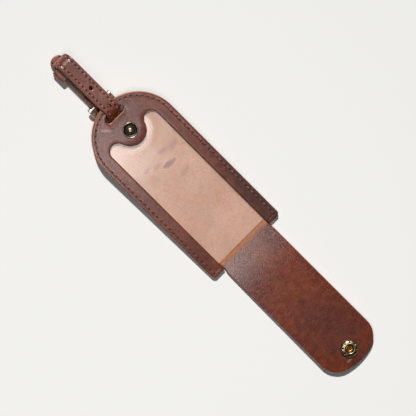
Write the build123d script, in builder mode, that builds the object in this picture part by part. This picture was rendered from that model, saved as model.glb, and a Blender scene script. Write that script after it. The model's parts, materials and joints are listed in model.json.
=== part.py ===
from build123d import *
import os
from math import cos, pi, radians, sin, sqrt, tan

# A leather luggage tag with its snap flap open, lying on a table. Millimetres and degrees.
# +Y runs along the tag to its strap, +Z is up, and the origin is under the middle of the whole.
# Lengths along the tag and the strap are first measured from the fold, where the tag's legs end.

# Tag body
tag_width = 56
tag_length = 121
tag_lean = 3.25
leg_width = 8.8
leg_corner = 2.6
leather = 1.8
sheet_thickness = 0.4
front_thickness = 2.0
lobe_radius = 5
lobe_height = 95.6
stud_height = 99.8
slot_length = 14
slot_width = 4.5
web = 5.6

# Seam round the tag
seam_inset = 2.4
seam_pitch = 3.5
thread = 0.7
groove_width = 0.9
groove_depth = 0.5
back_groove = 0.8

# Flap
flap_width = 39.2
root_width = 38
root_length = 6.4
slit = 0.2
lining = 1.4
flap_lean = 1.4
flap_corner = 13
flap_bow = 37.65
end_margin = 9.7
fold_up = 6.1
fold_height = 5.45
fold_gap = 2.35
outer_root = 2.8
lining_root = 3.8
skive = 1.6

# Snap fastener
stud_radius = 4.8
stud_rim = 0.8
nub_radius = 2.15
nub_height = 2.7
rivet_radius = 1.45
rivet_head = 3.9
head_thickness = 0.4
socket_radius = 5.55
socket_height = 2.6
socket_bore = 2.6
spring_radius = 2.85
spring_wire = 0.3
cap_radius = 6.3

# Strap, as heights of the middle of its two plies above the table
strap_width = 9.75
ply = 1.1
strap_skew = 16.7
strap_shift = -2.8
main_run = 4.85
upper_run = 12.5
web_run = 4.9
tip_run = 2.55
strap_tip = 162.5
loop_end = 158.5
slot_drop = 113.4
wrap_end = 132.4
hole_radius = 1.25
hole_pitch = 15.5
first_hole = 118.2
strap_seam = 3.0
strap_pitch = 3.0
strap_thread = 0.5

# Keeper
keeper_start = 147.8
keeper_length = 8.2
keeper_leather = 1.3
keeper_width = 14.2
keeper_height = 7.35
keeper_centre = -1.8

# Buckle and prong
heel = (124, 5.95)
buckle_centre = -1.2
buckle_lean = 19.5
buckle_width = 17.8
buckle_reach = 10.4
buckle_bar_width = 2.4
buckle_thickness = 1.6
heel_radius = 1
eye_radius = 1.8
prong_width = 1.6
prong_thickness = 1.2
fit = 0.02
running_fit = 0.15

# Where the fold's axis, the flap's end and the middle of the whole lie, seen from the side
lean_cos = cos(radians(tag_lean))
lean_sin = sin(radians(tag_lean))
flap_cos = cos(radians(flap_lean))
flap_sin = sin(radians(flap_lean))
axis_y = fold_up * lean_cos - fold_height * lean_sin
axis_z = fold_up * lean_sin + fold_height * lean_cos
flap_thickness = leather + lining
snap_reach = stud_height - fold_up
flap_length = snap_reach + end_margin
foot_y = axis_y - (fold_gap + flap_thickness) * flap_sin
foot_z = axis_z - (fold_gap + flap_thickness) * flap_cos
flap_tip = foot_y - flap_length * flap_cos
fold_y = -(strap_tip + flap_tip) / 2

tag_plane = Plane(origin=(0, fold_y, 0), x_dir=(1, 0, 0), z_dir=(0, -lean_sin, lean_cos))
flap_plane = Plane(
    origin=(0, fold_y + foot_y, foot_z), x_dir=(1, 0, 0), z_dir=(0, flap_sin, flap_cos)
)
front_level = leather + sheet_thickness
top_level = front_level + front_thickness
cap_height = foot_z + snap_reach * flap_sin

# The strap's side view is drawn on a plane that leans, so that its loop is skewed sideways
skew_cos = cos(radians(strap_skew))
skew = tan(radians(strap_skew))
strap_plane = Plane(
    origin=(strap_shift, fold_y, 0),
    x_dir=(0, 1, 0),
    z_dir=(skew_cos, 0, -sin(radians(strap_skew))),
)


def side(y, z):
    """A point of the strap's side view: its place along the strap and its height."""
    return (y, z / skew_cos)


# Tag outline: two legs under a half-round top
arch_centre = tag_length - tag_width / 2
with BuildSketch() as tag_outline:
    Rectangle(tag_width, arch_centre, align=(Align.CENTER, Align.MIN))
    fillet(tag_outline.vertices().group_by(Axis.Y)[0], leg_corner)
    with Locations((0, arch_centre)):
        Circle(tag_width / 2)

# Window: open at the fold, with a lobe on each side of the round tongue that carries the stud
window_half = tag_width / 2 - leg_width
lobe_x = window_half - lobe_radius
rise = stud_height - lobe_height
tongue_radius = sqrt(lobe_x**2 + rise**2) - lobe_radius
meet = lobe_radius / (lobe_radius + tongue_radius)
meet_x = lobe_x * (1 - meet)
meet_y = lobe_height + rise * meet
with BuildSketch() as window:
    with BuildLine():
        Polyline((-window_half, lobe_height), (-window_half, -1), (window_half, -1), (window_half, lobe_height))
        ThreePointArc((window_half, lobe_height), (lobe_x, lobe_height + lobe_radius), (meet_x, meet_y))
        ThreePointArc((meet_x, meet_y), (0, stud_height - tongue_radius), (-meet_x, meet_y))
        ThreePointArc((-meet_x, meet_y), (-lobe_x, lobe_height + lobe_radius), (-window_half, lobe_height))
    make_face()

slot_centre = tag_length - web - slot_width / 2
with BuildSketch() as slot:
    with Locations((0, slot_centre)):
        SlotOverall(slot_length, slot_width)

# Groove under the seam: along the foot of each leg, up its side and round the arch
seam_x = tag_width / 2 - seam_inset
foot_stitch = 2.1
foot_start = seam_x - 2 * foot_stitch - 0.3
with BuildSketch() as seam_groove:
    with BuildLine():
        Polyline((-foot_start, seam_inset), (-seam_x, seam_inset), (-seam_x, arch_centre))
        ThreePointArc((-seam_x, arch_centre), (0, arch_centre + seam_x), (seam_x, arch_centre))
        Polyline((seam_x, arch_centre), (seam_x, seam_inset), (foot_start, seam_inset))
    trace(line_width=groove_width)

with BuildPart() as front_panel:
    with BuildSketch(tag_plane.offset(front_level)):
        add(tag_outline.sketch)
        add(window.sketch, mode=Mode.SUBTRACT)
        add(slot.sketch, mode=Mode.SUBTRACT)
    extrude(amount=front_thickness)
    with BuildSketch(tag_plane.offset(top_level)):
        add(seam_groove.sketch)
    extrude(amount=-groove_depth, mode=Mode.SUBTRACT)
    with BuildSketch(tag_plane.offset(front_level)):
        with Locations((0, stud_height)):
            Circle(rivet_head + fit)
    extrude(amount=head_thickness, mode=Mode.SUBTRACT)
    with BuildSketch(tag_plane.offset(front_level)):
        with Locations((0, stud_height)):
            Circle(rivet_radius + fit)
    extrude(amount=front_thickness, mode=Mode.SUBTRACT)
front_panel.part.label = "front_panel"

slit_height = fold_up - outer_root + slit
with BuildPart() as back_panel:
    with BuildSketch(tag_plane):
        add(tag_outline.sketch)
        Rectangle(
            flap_width + 2 * slit, 2 * slit_height, align=(Align.CENTER, Align.CENTER), mode=Mode.SUBTRACT
        )
        add(slot.sketch, mode=Mode.SUBTRACT)
    extrude(amount=leather)
    with BuildSketch(tag_plane):
        add(seam_groove.sketch)
    extrude(amount=back_groove, mode=Mode.SUBTRACT)
back_panel.part.label = "back_panel"

# The clear sheet is sewn in under the seam and is open at its foot
sheet_inset = 1.2
sheet_foot = 4.4
with BuildPart() as window_sheet:
    with BuildSketch(tag_plane.offset(leather)):
        add(tag_outline.sketch)
        offset(amount=-sheet_inset)
        Rectangle(tag_width, 2 * sheet_foot, mode=Mode.SUBTRACT)
        with Locations((0, slot_centre)):
            SlotOverall(slot_length + 1, slot_width + 1, mode=Mode.SUBTRACT)
    extrude(amount=sheet_thickness)
window_sheet.part.label = "window_sheet"

# One stitch, lying along X, and the two seams made of it
stitch_gap = 0.5
with BuildPart() as stitch:
    with BuildSketch() as half_stitch:
        SlotOverall(seam_pitch - stitch_gap, thread)
        split(bisect_by=Plane.XZ)
    revolve(axis=Axis.X)

with BuildPart() as short_stitch:
    with BuildSketch() as half_short:
        SlotOverall(foot_stitch - 0.3, thread)
        split(bisect_by=Plane.XZ)
    revolve(axis=Axis.X)

leg_seam = arch_centre - seam_inset
leg_count = round(leg_seam / seam_pitch)
leg_pitch = leg_seam / leg_count
arch_count = round(pi * seam_x / seam_pitch)
arch_step = 180 / arch_count
seam_levels = (top_level - groove_depth + thread / 2, thread / 2 + 0.05)
seams = []
for level in seam_levels:
    with BuildPart(tag_plane.offset(level)) as seam:
        with Locations((0, seam_inset + leg_seam / 2)):
            with GridLocations(2 * seam_x, leg_pitch, 2, leg_count):
                add(stitch.part, rotation=(0, 0, 90))
        with Locations((0, arch_centre)):
            with PolarLocations(seam_x, arch_count, arch_step / 2, 180 - arch_step, endpoint=True):
                add(stitch.part, rotation=(0, 0, 90))
        with Locations((0, seam_inset)):
            for side_sign in (-1, 1):
                with Locations((side_sign * (seam_x - foot_stitch - 0.3), 0)):
                    with GridLocations(foot_stitch, 1, 2, 1):
                        add(short_stitch.part)
    seams.append(seam.part)
stitching_front, stitching_back = seams
stitching_front.label = "stitching_front"
stitching_back.label = "stitching_back"

# Stud: a dished disc with a round nub, riveted through the tongue from below. Turned parts are
# drawn upright at the origin, and added to their piece where they stand.
stud_place = tag_plane.offset(top_level).location * Pos(0, stud_height, 0)
nub_shoulder = nub_height - 0.9
nub_curve = (nub_radius**2 + 0.9**2) / (2 * 0.9)
with BuildPart() as turned_stud:
    with BuildSketch(Plane.XZ):
        with BuildLine():
            Polyline(
                (0, nub_height),
                (0, nub_shoulder + 0.1),
                (rivet_radius + fit, nub_shoulder + 0.1),
                (rivet_radius + fit, 0),
                (stud_radius, 0),
                (stud_radius, stud_rim - 0.3),
                (stud_radius - 0.3, stud_rim),
                (stud_radius - 0.9, stud_rim - 0.1),
                (stud_radius - 1.5, 0.4),
                (nub_radius, 0.4),
                (nub_radius, nub_shoulder),
            )
            RadiusArc((nub_radius, nub_shoulder), (0, nub_height), -nub_curve)
        make_face()
    revolve(axis=Axis.Z)

with BuildPart() as snap_stud:
    with Locations(stud_place):
        add(turned_stud.part)
snap_stud.part.label = "snap_stud"

with BuildPart() as stud_post:
    with BuildSketch(Plane(stud_place).offset(-front_thickness)):
        Circle(rivet_head)
    extrude(amount=head_thickness)
    with BuildSketch(Plane(stud_place).offset(-front_thickness)):
        Circle(rivet_radius)
    extrude(amount=front_thickness + nub_shoulder)
stud_post.part.label = "stud_post"

# Flap outline, from its root at the fold to its rounded end
flap_half = flap_width / 2
corner_x = flap_half - flap_corner
corner_y = flap_bow - sqrt((flap_bow - flap_corner) ** 2 - corner_x**2)
bow_share = flap_bow / (flap_bow - flap_corner)
bow_x = corner_x * bow_share
bow_y = flap_bow + (corner_y - flap_bow) * bow_share
diagonal = sqrt(0.5) * flap_corner
shoulder = root_length + 2.5


flap_end = -flap_length
half_root = root_width / 2
with BuildSketch() as flap_outline:
    with BuildLine():
        Polyline(
            (-flap_half, flap_end + corner_y),
            (-flap_half, -shoulder),
            (-half_root, -root_length),
            (-half_root, -outer_root),
            (half_root, -outer_root),
            (half_root, -root_length),
            (flap_half, -shoulder),
            (flap_half, flap_end + corner_y),
        )
        ThreePointArc(
            (flap_half, flap_end + corner_y),
            (corner_x + diagonal, flap_end + corner_y - diagonal),
            (bow_x, flap_end + bow_y),
        )
        ThreePointArc((bow_x, flap_end + bow_y), (0, flap_end), (-bow_x, flap_end + bow_y))
        ThreePointArc(
            (-bow_x, flap_end + bow_y),
            (-corner_x - diagonal, flap_end + corner_y - diagonal),
            (-flap_half, flap_end + corner_y),
        )
    make_face()
    with Locations((0, -snap_reach)):
        Circle(rivet_radius + fit, mode=Mode.SUBTRACT)

with BuildPart() as flap_outer:
    with BuildSketch(flap_plane):
        add(flap_outline.sketch)
    extrude(amount=leather)
flap_outer.part.label = "flap_outer"

with BuildPart() as flap_lining:
    with BuildSketch(flap_plane.offset(leather)):
        add(flap_outline.sketch)
        Rectangle(flap_width, 2 * lining_root, mode=Mode.SUBTRACT)
    extrude(amount=lining)
    skived = flap_lining.edges().filter_by(Axis.X).group_by(Axis.Z)[-1].sort_by(Axis.Y)[-1]
    chamfer(skived, length=lining - 0.4, length2=skive)
flap_lining.part.label = "flap_lining"

# Socket, its spring ring and the cap under the flap, whose rivet is flared over the socket's floor
socket_place = flap_plane.offset(flap_thickness).location * Pos(0, -snap_reach, 0)
groove_low = 1.2
groove_high = 2.0
floor_thickness = 0.35
with BuildPart() as turned_socket:
    with BuildSketch(Plane.XZ):
        with BuildLine():
            Polyline(
                (rivet_radius + fit, 0),
                (socket_radius, 0),
                (socket_radius, socket_height - 1.4),
                (socket_radius - 0.5, socket_height - 0.5),
                (socket_radius - 1.1, socket_height - 0.1),
                (socket_bore + 0.9, socket_height),
                (socket_bore, socket_height - 0.5),
                (socket_bore, groove_high),
                (socket_bore + 0.75, groove_high),
                (socket_bore + 0.75, groove_low),
                (socket_bore, groove_low),
                (socket_bore, floor_thickness),
                (rivet_radius + fit, floor_thickness),
                close=True,
            )
        make_face()
    revolve(axis=Axis.Z)
    with BuildSketch(Plane.XY.offset(socket_height)):
        with PolarLocations(socket_bore + 1.35, 8):
            Circle(0.35)
    extrude(amount=-0.5, mode=Mode.SUBTRACT)

with BuildPart() as snap_socket:
    with Locations(socket_place):
        add(turned_socket.part)
snap_socket.part.label = "snap_socket"

spring_height = (groove_low + groove_high) / 2
with BuildPart() as turned_spring:
    with BuildSketch(Plane.XZ):
        with Locations((spring_radius, spring_height)):
            Circle(spring_wire)
    revolve(axis=Axis.Z, revolution_arc=320)

with BuildPart() as socket_spring:
    with Locations(socket_place):
        add(turned_spring.part)
socket_spring.part.label = "socket_spring"

flare_top = 0.7
cap_edge = 0.5
cap_rise = cap_height - cap_edge
cap_curve = (cap_radius**2 + cap_rise**2) / (2 * cap_rise)
with BuildPart() as turned_cap:
    with BuildSketch(Plane.XZ):
        with BuildLine():
            Polyline(
                (0, -flap_thickness - cap_height),
                (0, flare_top),
                (rivet_radius + 0.65, flare_top),
                (rivet_radius + 0.65, floor_thickness),
                (rivet_radius, floor_thickness),
                (rivet_radius, -flap_thickness),
                (cap_radius, -flap_thickness),
                (cap_radius, -flap_thickness - cap_edge),
            )
            RadiusArc(
                (cap_radius, -flap_thickness - cap_edge),
                (0, -flap_thickness - cap_height),
                cap_curve,
            )
        make_face()
    revolve(axis=Axis.Z)

with BuildPart() as snap_cap:
    with Locations(socket_place):
        add(turned_cap.part)
snap_cap.part.label = "snap_cap"

# Strap: one route for both plies, from the buckle out, over, down the slot and back under
low_bend = 2
high_bend = 5.2
slot_bend = 2.3
ramp_bend = 5
ramp_start = 117
ramp_end = 122.2
with BuildLine() as strap_route:
    FilletPolyline(
        side(wrap_end, main_run),
        side(loop_end, main_run),
        side(loop_end, upper_run),
        side(slot_drop, upper_run),
        side(slot_drop, web_run),
        side(ramp_start, web_run),
        side(ramp_end, tip_run),
        side(strap_tip, tip_run),
        radius=[low_bend, high_bend, slot_bend, slot_bend, ramp_bend, ramp_bend],
    )

# The outer ply's end goes round the heel bar and comes back to the end of the lining
wrap_radius = heel_radius + running_fit
with BuildSketch() as wrap_outside:
    with Locations(side(*heel)):
        Circle(wrap_radius + ply)
    with Locations(side(wrap_end - 0.1, main_run)):
        Rectangle(0.2, 2 * ply / skew_cos)
    make_hull()

with BuildSketch() as wrap_inside:
    with Locations(side(*heel)):
        Circle(wrap_radius)
    with Locations(side(wrap_end - 1.1, main_run + 0.1)):
        Rectangle(0.2, 0.1)
    make_hull()

prong_slit = 2.8
oval = 6

upper_start = slot_drop + slot_bend + 3
upper_end = loop_end - high_bend
tip_start = ramp_end + 3
tip_end = strap_tip - strap_width / 2
strap_groove = 0.55
strap_top = upper_run + ply
strap_low = tip_run - ply
tip_x = strap_shift + tip_run * skew
upper_x = strap_shift + upper_run * skew

# What is cut away from the strap: round its tip, the punched holes and the prong's oval
with BuildPart() as strap_cuts:
    with BuildSketch(Plane.XY):
        with Locations((tip_x, fold_y + tip_end)):
            Rectangle(2 * strap_width, strap_width, align=(Align.CENTER, Align.MIN))
            Circle(strap_width / 2, mode=Mode.SUBTRACT)
    extrude(amount=main_run - ply - 0.05)
    with BuildSketch(Plane.XY.offset(upper_run - 2 * ply)):
        with Locations((upper_x, fold_y + first_hole), (upper_x, fold_y + first_hole + hole_pitch)):
            Circle(hole_radius)
    extrude(amount=4 * ply)
    with BuildSketch(Plane.XY):
        with Locations((buckle_centre, fold_y + ramp_end - 1.9)):
            SlotOverall(oval, prong_slit, rotation=90)
    extrude(amount=web_run + 0.2)

# Grooves for the thread on the upper run's top and on the tip run's underside
with BuildPart() as thread_cuts:
    with BuildSketch(Plane.XY.offset(strap_top - strap_groove)):
        with Locations((strap_shift + strap_top * skew, fold_y + (upper_start + upper_end) / 2)):
            with GridLocations(2 * strap_seam, 1, 2, 1):
                Rectangle(strap_thread + 0.2, upper_end - upper_start)
    extrude(amount=2 * strap_groove)
    with BuildSketch(Plane.XY.offset(strap_low - strap_groove)):
        with Locations((strap_shift + strap_low * skew, fold_y + (tip_start + tip_end) / 2)):
            with GridLocations(2 * strap_seam, 1, 2, 1):
                Rectangle(strap_thread + 0.2, tip_end - tip_start)
    extrude(amount=2 * strap_groove)

with BuildPart() as strap_outer:
    with BuildSketch(strap_plane):
        with BuildLine():
            add(strap_route.line)
            offset(amount=ply / skew_cos, side=Side.RIGHT)
        make_face()
        add(wrap_outside.sketch)
        add(wrap_inside.sketch, mode=Mode.SUBTRACT)
    extrude(amount=strap_width / 2, dir=(1, 0, 0), both=True)
    add(strap_cuts.part, mode=Mode.SUBTRACT)
    add(thread_cuts.part, mode=Mode.SUBTRACT)
    with BuildSketch(Plane.XY.offset(main_run - 2 * ply)):
        with Locations((buckle_centre, fold_y + heel[0] - 0.4)):
            Rectangle(prong_slit, 8)
    extrude(amount=7, mode=Mode.SUBTRACT)
strap_outer.part.label = "strap_outer"

with BuildPart() as strap_lining:
    with BuildSketch(strap_plane):
        with BuildLine():
            add(strap_route.line)
            offset(amount=ply / skew_cos, side=Side.LEFT)
        make_face()
    extrude(amount=strap_width / 2, dir=(1, 0, 0), both=True)
    add(strap_cuts.part, mode=Mode.SUBTRACT)
strap_lining.part.label = "strap_lining"

with BuildPart() as strap_stitch:
    with BuildSketch():
        SlotOverall(strap_pitch - 0.5, strap_thread)
        split(bisect_by=Plane.XZ)
    revolve(axis=Axis.X)

strap_rows = [
    (upper_start, upper_end, strap_top - strap_groove + strap_thread / 2),
    (tip_start, tip_end, strap_low + strap_groove - strap_thread / 2),
]
with BuildPart() as strap_stitching:
    for start, end, height in strap_rows:
        count = int((end - start) / strap_pitch)
        with Locations((strap_shift + height * skew, fold_y + (start + end) / 2, height)):
            with GridLocations(2 * strap_seam, strap_pitch, 2, count):
                add(strap_stitch.part, rotation=(0, 0, 90))
strap_stitching.part.label = "strap_stitching"

# Keeper: a leather band round both lower runs, sewn at its underside
keeper_plane = Plane(
    origin=(keeper_centre, fold_y + keeper_start, keeper_height / 2), x_dir=(1, 0, 0), z_dir=(0, 1, 0)
)
keeper_seam = 1.8
with BuildPart() as keeper_loop:
    with BuildSketch(keeper_plane):
        RectangleRounded(keeper_width, keeper_height, 1.6)
        RectangleRounded(
            keeper_width - 2 * keeper_leather, keeper_height - 2 * keeper_leather, 0.4, mode=Mode.SUBTRACT
        )
    extrude(amount=keeper_length)
    with BuildSketch(Plane.XY):
        with Locations((keeper_centre, fold_y + keeper_start + keeper_length / 2)):
            with GridLocations(2 * keeper_seam, 1, 2, 1):
                Rectangle(groove_width, 5)
    extrude(amount=groove_depth, mode=Mode.SUBTRACT)
keeper_loop.part.label = "keeper_loop"

with BuildPart() as keeper_stitch:
    with Locations((keeper_centre, fold_y + keeper_start + keeper_length / 2, groove_depth - strap_thread / 2)):
        with GridLocations(2 * keeper_seam, strap_pitch - 0.6, 2, 2):
            add(strap_stitch.part, rotation=(0, 0, 90), mode=Mode.ADD)
keeper_stitch.part.label = "keeper_stitch"

# Buckle: a U-shaped frame whose ends are closed by the heel bar
buckle_plane = Plane(
    origin=(buckle_centre, fold_y + heel[0], heel[1]),
    x_dir=(1, 0, 0),
    z_dir=(0, -sin(radians(buckle_lean)), cos(radians(buckle_lean))),
)
eye_x = (buckle_width - buckle_bar_width) / 2
inner_width = buckle_width - 2 * buckle_bar_width
with BuildPart() as buckle_frame:
    with BuildSketch(buckle_plane) as frame_face:
        Rectangle(buckle_width, buckle_reach + buckle_bar_width / 2, align=(Align.CENTER, Align.MAX))
        fillet(frame_face.vertices().group_by(Axis.Y)[0], 3.5)
        Rectangle(
            inner_width, buckle_reach - buckle_bar_width / 2, align=(Align.CENTER, Align.MAX), mode=Mode.SUBTRACT
        )
    extrude(amount=buckle_thickness / 2, both=True)
    for eye in (-eye_x, eye_x):
        with BuildSketch(Plane.YZ.offset(buckle_centre + eye)):
            with Locations((fold_y + heel[0], heel[1])):
                Circle(eye_radius)
        extrude(amount=buckle_bar_width / 2, both=True)
    with BuildSketch(Plane.YZ.offset(buckle_centre)):
        with Locations((fold_y + heel[0], heel[1])):
            Circle(heel_radius + fit)
    extrude(amount=buckle_width, both=True, mode=Mode.SUBTRACT)
buckle_frame.part.label = "buckle_frame"

with BuildPart() as buckle_bar:
    with BuildSketch(Plane.YZ.offset(buckle_centre)):
        with Locations((fold_y + heel[0], heel[1])):
            Circle(heel_radius)
    extrude(amount=(buckle_width - 0.2) / 2, both=True)
buckle_bar.part.label = "buckle_bar"

# Prong: an eye on the heel bar and a bent tongue that runs under the frame's end
with BuildPart() as buckle_prong:
    with BuildSketch(Plane.YZ.offset(buckle_centre)):
        with BuildLine():
            FilletPolyline(
                (fold_y + heel[0] - 1.2, heel[1] - 1.2),
                (fold_y + heel[0] - 4.2, 3.0),
                (fold_y + heel[0] - 7.0, 0.62),
                (fold_y + heel[0] - 11.6, 0.62),
                radius=2,
            )
        trace(line_width=prong_thickness)
        with Locations((fold_y + heel[0], heel[1])):
            Circle(heel_radius + running_fit + 0.8)
            Circle(heel_radius + running_fit, mode=Mode.SUBTRACT)
    extrude(amount=prong_width / 2, both=True)
buckle_prong.part.label = "buckle_prong"

pieces = [
    front_panel.part,
    back_panel.part,
    window_sheet.part,
    stitching_front,
    stitching_back,
    snap_stud.part,
    stud_post.part,
    flap_outer.part,
    flap_lining.part,
    snap_socket.part,
    socket_spring.part,
    snap_cap.part,
    strap_outer.part,
    strap_lining.part,
    strap_stitching.part,
    keeper_loop.part,
    keeper_stitch.part,
    buckle_frame.part,
    buckle_bar.part,
    buckle_prong.part,
]
os.makedirs("parts", exist_ok=True)
for piece in pieces:
    export_step(piece, "parts/" + piece.label + ".step")
print("fold axis", round(fold_y + axis_y, 3), round(axis_z, 3))
print("tag plane at", round(fold_y, 3), "snap reach", snap_reach, "closed at", 180 - tag_lean - flap_lean)
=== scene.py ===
import json
import math

import bmesh
import bpy
import numpy as np
from mathutils import Matrix, Vector


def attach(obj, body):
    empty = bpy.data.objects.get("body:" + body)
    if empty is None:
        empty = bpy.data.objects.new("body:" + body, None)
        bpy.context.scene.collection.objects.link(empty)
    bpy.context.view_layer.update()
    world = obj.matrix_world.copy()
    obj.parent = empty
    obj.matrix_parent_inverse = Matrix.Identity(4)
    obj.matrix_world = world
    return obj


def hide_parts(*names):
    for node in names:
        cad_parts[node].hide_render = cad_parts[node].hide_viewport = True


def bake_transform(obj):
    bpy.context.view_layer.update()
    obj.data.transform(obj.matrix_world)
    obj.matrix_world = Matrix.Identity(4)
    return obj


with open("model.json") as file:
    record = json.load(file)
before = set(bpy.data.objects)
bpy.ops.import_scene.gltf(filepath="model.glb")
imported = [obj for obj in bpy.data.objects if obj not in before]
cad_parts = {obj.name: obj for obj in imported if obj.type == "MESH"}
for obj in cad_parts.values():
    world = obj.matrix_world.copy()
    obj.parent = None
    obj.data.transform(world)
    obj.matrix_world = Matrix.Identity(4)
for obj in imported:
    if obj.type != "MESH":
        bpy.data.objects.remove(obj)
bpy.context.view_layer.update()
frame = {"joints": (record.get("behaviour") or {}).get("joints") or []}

# Lengths are in millimetres until a piece is made, which puts them in metres.
joints = {joint["name"]: joint for joint in frame["joints"]}
foldAxis = np.array(joints["flap_fold"]["pos_m"]) * 1000
heelAxis = np.array(joints["buckle_tilt"]["pos_m"]) * 1000

body = {
    "width": 56, "length": 121, "leg": 8.8, "corner": 2.6, "lean": 3.25,
    "leather": 1.8, "sheet": 0.4, "front": 2.0, "foldUp": 6.1, "foldHeight": 5.45,
    "lobe": 5, "lobeUp": 95.6, "studUp": 99.8, "slotLength": 14, "slotWidth": 4.5, "web": 5.6,
    "seamInset": 2.4, "seamPitch": 3.5, "roll": 0.55, "groove": 0.07, "grooveWidth": 0.42,
}
lean = math.radians(body["lean"])
foldY = foldAxis[1] - (body["foldUp"] * math.cos(lean) - body["foldHeight"] * math.sin(lean))
frontLow = body["leather"] + body["sheet"]
frontTop = frontLow + body["front"]

flap = {
    "width": 39.2, "rootWidth": 38.0, "length": 103.4, "reach": 93.7, "lean": 1.4,
    "gap": 2.35, "outer": 1.8, "lining": 1.4, "corner": 13, "bow": 37.65, "roll": 0.5, "innerRoll": 0.12,
    "outerRoot": 1.12, "liningRoot": 1.7, "skiveLength": 32, "skiveDepth": 1.0, "lipLength": 3.4, "lip": 0.16,
    "blendFrom": 4.6, "blendTo": -1.8, "narrowEnd": 9.0, "narrowRun": 2.6,
}
flapLean = math.radians(flap["lean"])
flapThickness = flap["outer"] + flap["lining"]
footY = foldAxis[1] - (flap["gap"] + flapThickness) * math.sin(flapLean)
footZ = foldAxis[2] - (flap["gap"] + flapThickness) * math.cos(flapLean)

strap = {
    "width": 9.75, "ply": 1.1, "shift": -2.8, "skew": 0.3, "mainRun": 4.85, "upperRun": 12.5,
    "webRun": 4.9, "tipRun": 2.55, "tip": 162.5, "loopEnd": 158.5, "slotDrop": 112.7,
    "wrapEnd": 132.4, "rampStart": 117, "rampEnd": 122.2, "seam": 3.0, "pitch": 3.0,
    "hole": 1.25, "firstHole": 118.2, "holePitch": 15.5, "slit": 1.9, "roll": 0.35,
}


def tagPoint(x, v, w):
    # x across, v up the tag, w off its back: y = fold + v cos(lean) - w sin(lean), z = v sin + w cos
    y = foldY + v * math.cos(lean) - w * math.sin(lean)
    return np.stack([x + 0 * y, y, v * math.sin(lean) + w * math.cos(lean)], -1)


def flapPoint(x, s, h):
    # s from the fold's foot to the flap's end, h off its underside
    y = footY - s * math.cos(flapLean) + h * math.sin(flapLean)
    return np.stack([x + 0 * y, y, footZ + s * math.sin(flapLean) + h * math.cos(flapLean)], -1)


def addObject(name, data):
    made = bpy.data.objects.new(name, data)
    bpy.context.scene.collection.objects.link(made)
    return made


def makePiece(name, verts, faces, rides, replaced, material, edge=None, uv=None, weld=0.0, sharp=50):
    # One mesh from an array of points in mm and an array of faces, welded and with its normals outwards
    mesh = bpy.data.meshes.new(name)
    mesh.from_pydata((np.asarray(verts, float) * 0.001).tolist(), [], [tuple(f) for f in faces])
    # leather patterns follow the resting place, which stays with the surface when the flap folds
    resting = (np.asarray(verts, np.float32) * 0.001).ravel()
    mesh.attributes.new("rest", "FLOAT_VECTOR", "POINT").data.foreach_set("vector", resting)
    if edge is not None:
        mesh.attributes.new("edge", "FLOAT", "POINT").data.foreach_set("value", np.asarray(edge, np.float32))
    if uv is not None:
        index = np.empty(len(mesh.loops), np.int32)
        mesh.loops.foreach_get("vertex_index", index)
        mesh.uv_layers.new(name="seam").data.foreach_set("uv", np.asarray(uv, np.float32)[index].ravel())
    if weld:
        work = bmesh.new()
        work.from_mesh(mesh)
        bmesh.ops.remove_doubles(work, verts=work.verts, dist=weld * 0.001)
        bmesh.ops.dissolve_degenerate(work, edges=work.edges, dist=1e-6)
        bmesh.ops.recalc_face_normals(work, faces=work.faces)
        work.to_mesh(mesh)
        work.free()
    mesh.polygons.foreach_set("use_smooth", np.ones(len(mesh.polygons), bool))
    mesh.set_sharp_from_angle(angle=math.radians(sharp))
    mesh.materials.append(material)
    piece = addObject(name, mesh)
    if rides:
        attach(piece, rides)
    for node in replaced:
        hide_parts(node)
    return piece


def gridFaces(rows, columns, start=0, closedColumns=False, closedRows=False):
    # Quads between neighbours of a rows x columns grid of points
    i = np.arange(rows if closedRows else rows - 1)[:, None]
    k = np.arange(columns if closedColumns else columns - 1)[None, :]
    a = i * columns + k
    b = i * columns + (k + 1) % columns
    c = ((i + 1) % rows) * columns + (k + 1) % columns
    d = ((i + 1) % rows) * columns + k
    return start + np.stack([a, b, c, d], -1).reshape(-1, 4)


def tubeFaces(rings, points, start=0):
    # A closed tube of rings x points, with one many-sided face on each end
    faces = [tuple(f) for f in gridFaces(rings, points, start, closedColumns=True)]
    last = start + (rings - 1) * points
    return faces + [tuple(range(start, start + points))[::-1], tuple(range(last, last + points))]


def tangents(path, run):
    # Unit direction of travel along a polyline, from its points and their distances along it
    direction = np.gradient(path, run, axis=0)
    return direction / np.linalg.norm(direction, axis=1)[:, None]


def beside(path, run, tangent, b, h):
    # The point at distance b along a path, moved h to its right: (p + h t', q - h t)
    p, q = (np.interp(b, run, path[:, k]) for k in range(2))
    tp, tq = (np.interp(b, run, tangent[:, k]) for k in range(2))
    return p + tq * h, q - tp * h


def slabFaces(rows, columns, start, wallLow, wallHigh, caps):
    # Top and bottom grids of the same size, with walls down their two long sides and across their ends
    under = start + rows * columns
    faces = [gridFaces(rows, columns, start), gridFaces(rows, columns, under)[:, ::-1]]
    i = np.arange(rows - 1)
    for column, wall in ((0, wallLow), (columns - 1, wallHigh)):
        on = i[wall[:-1] | wall[1:]]
        a = on * columns + column
        faces.append(np.stack([start + a, start + a + columns, under + a + columns, under + a], -1))
    k = np.arange(columns - 1)
    for row in caps:
        a = row * columns + k
        faces.append(np.stack([start + a, start + a + 1, under + a + 1, under + a], -1))
    return np.concatenate(faces)


def rolled(distance, roll):
    # How far a rounded edge drops at this distance from it: r - sqrt(r^2 - (r - d)^2)
    inside = np.clip(roll - distance, 0, roll)
    return roll - np.sqrt(np.maximum(roll ** 2 - inside ** 2, 0))


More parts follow.
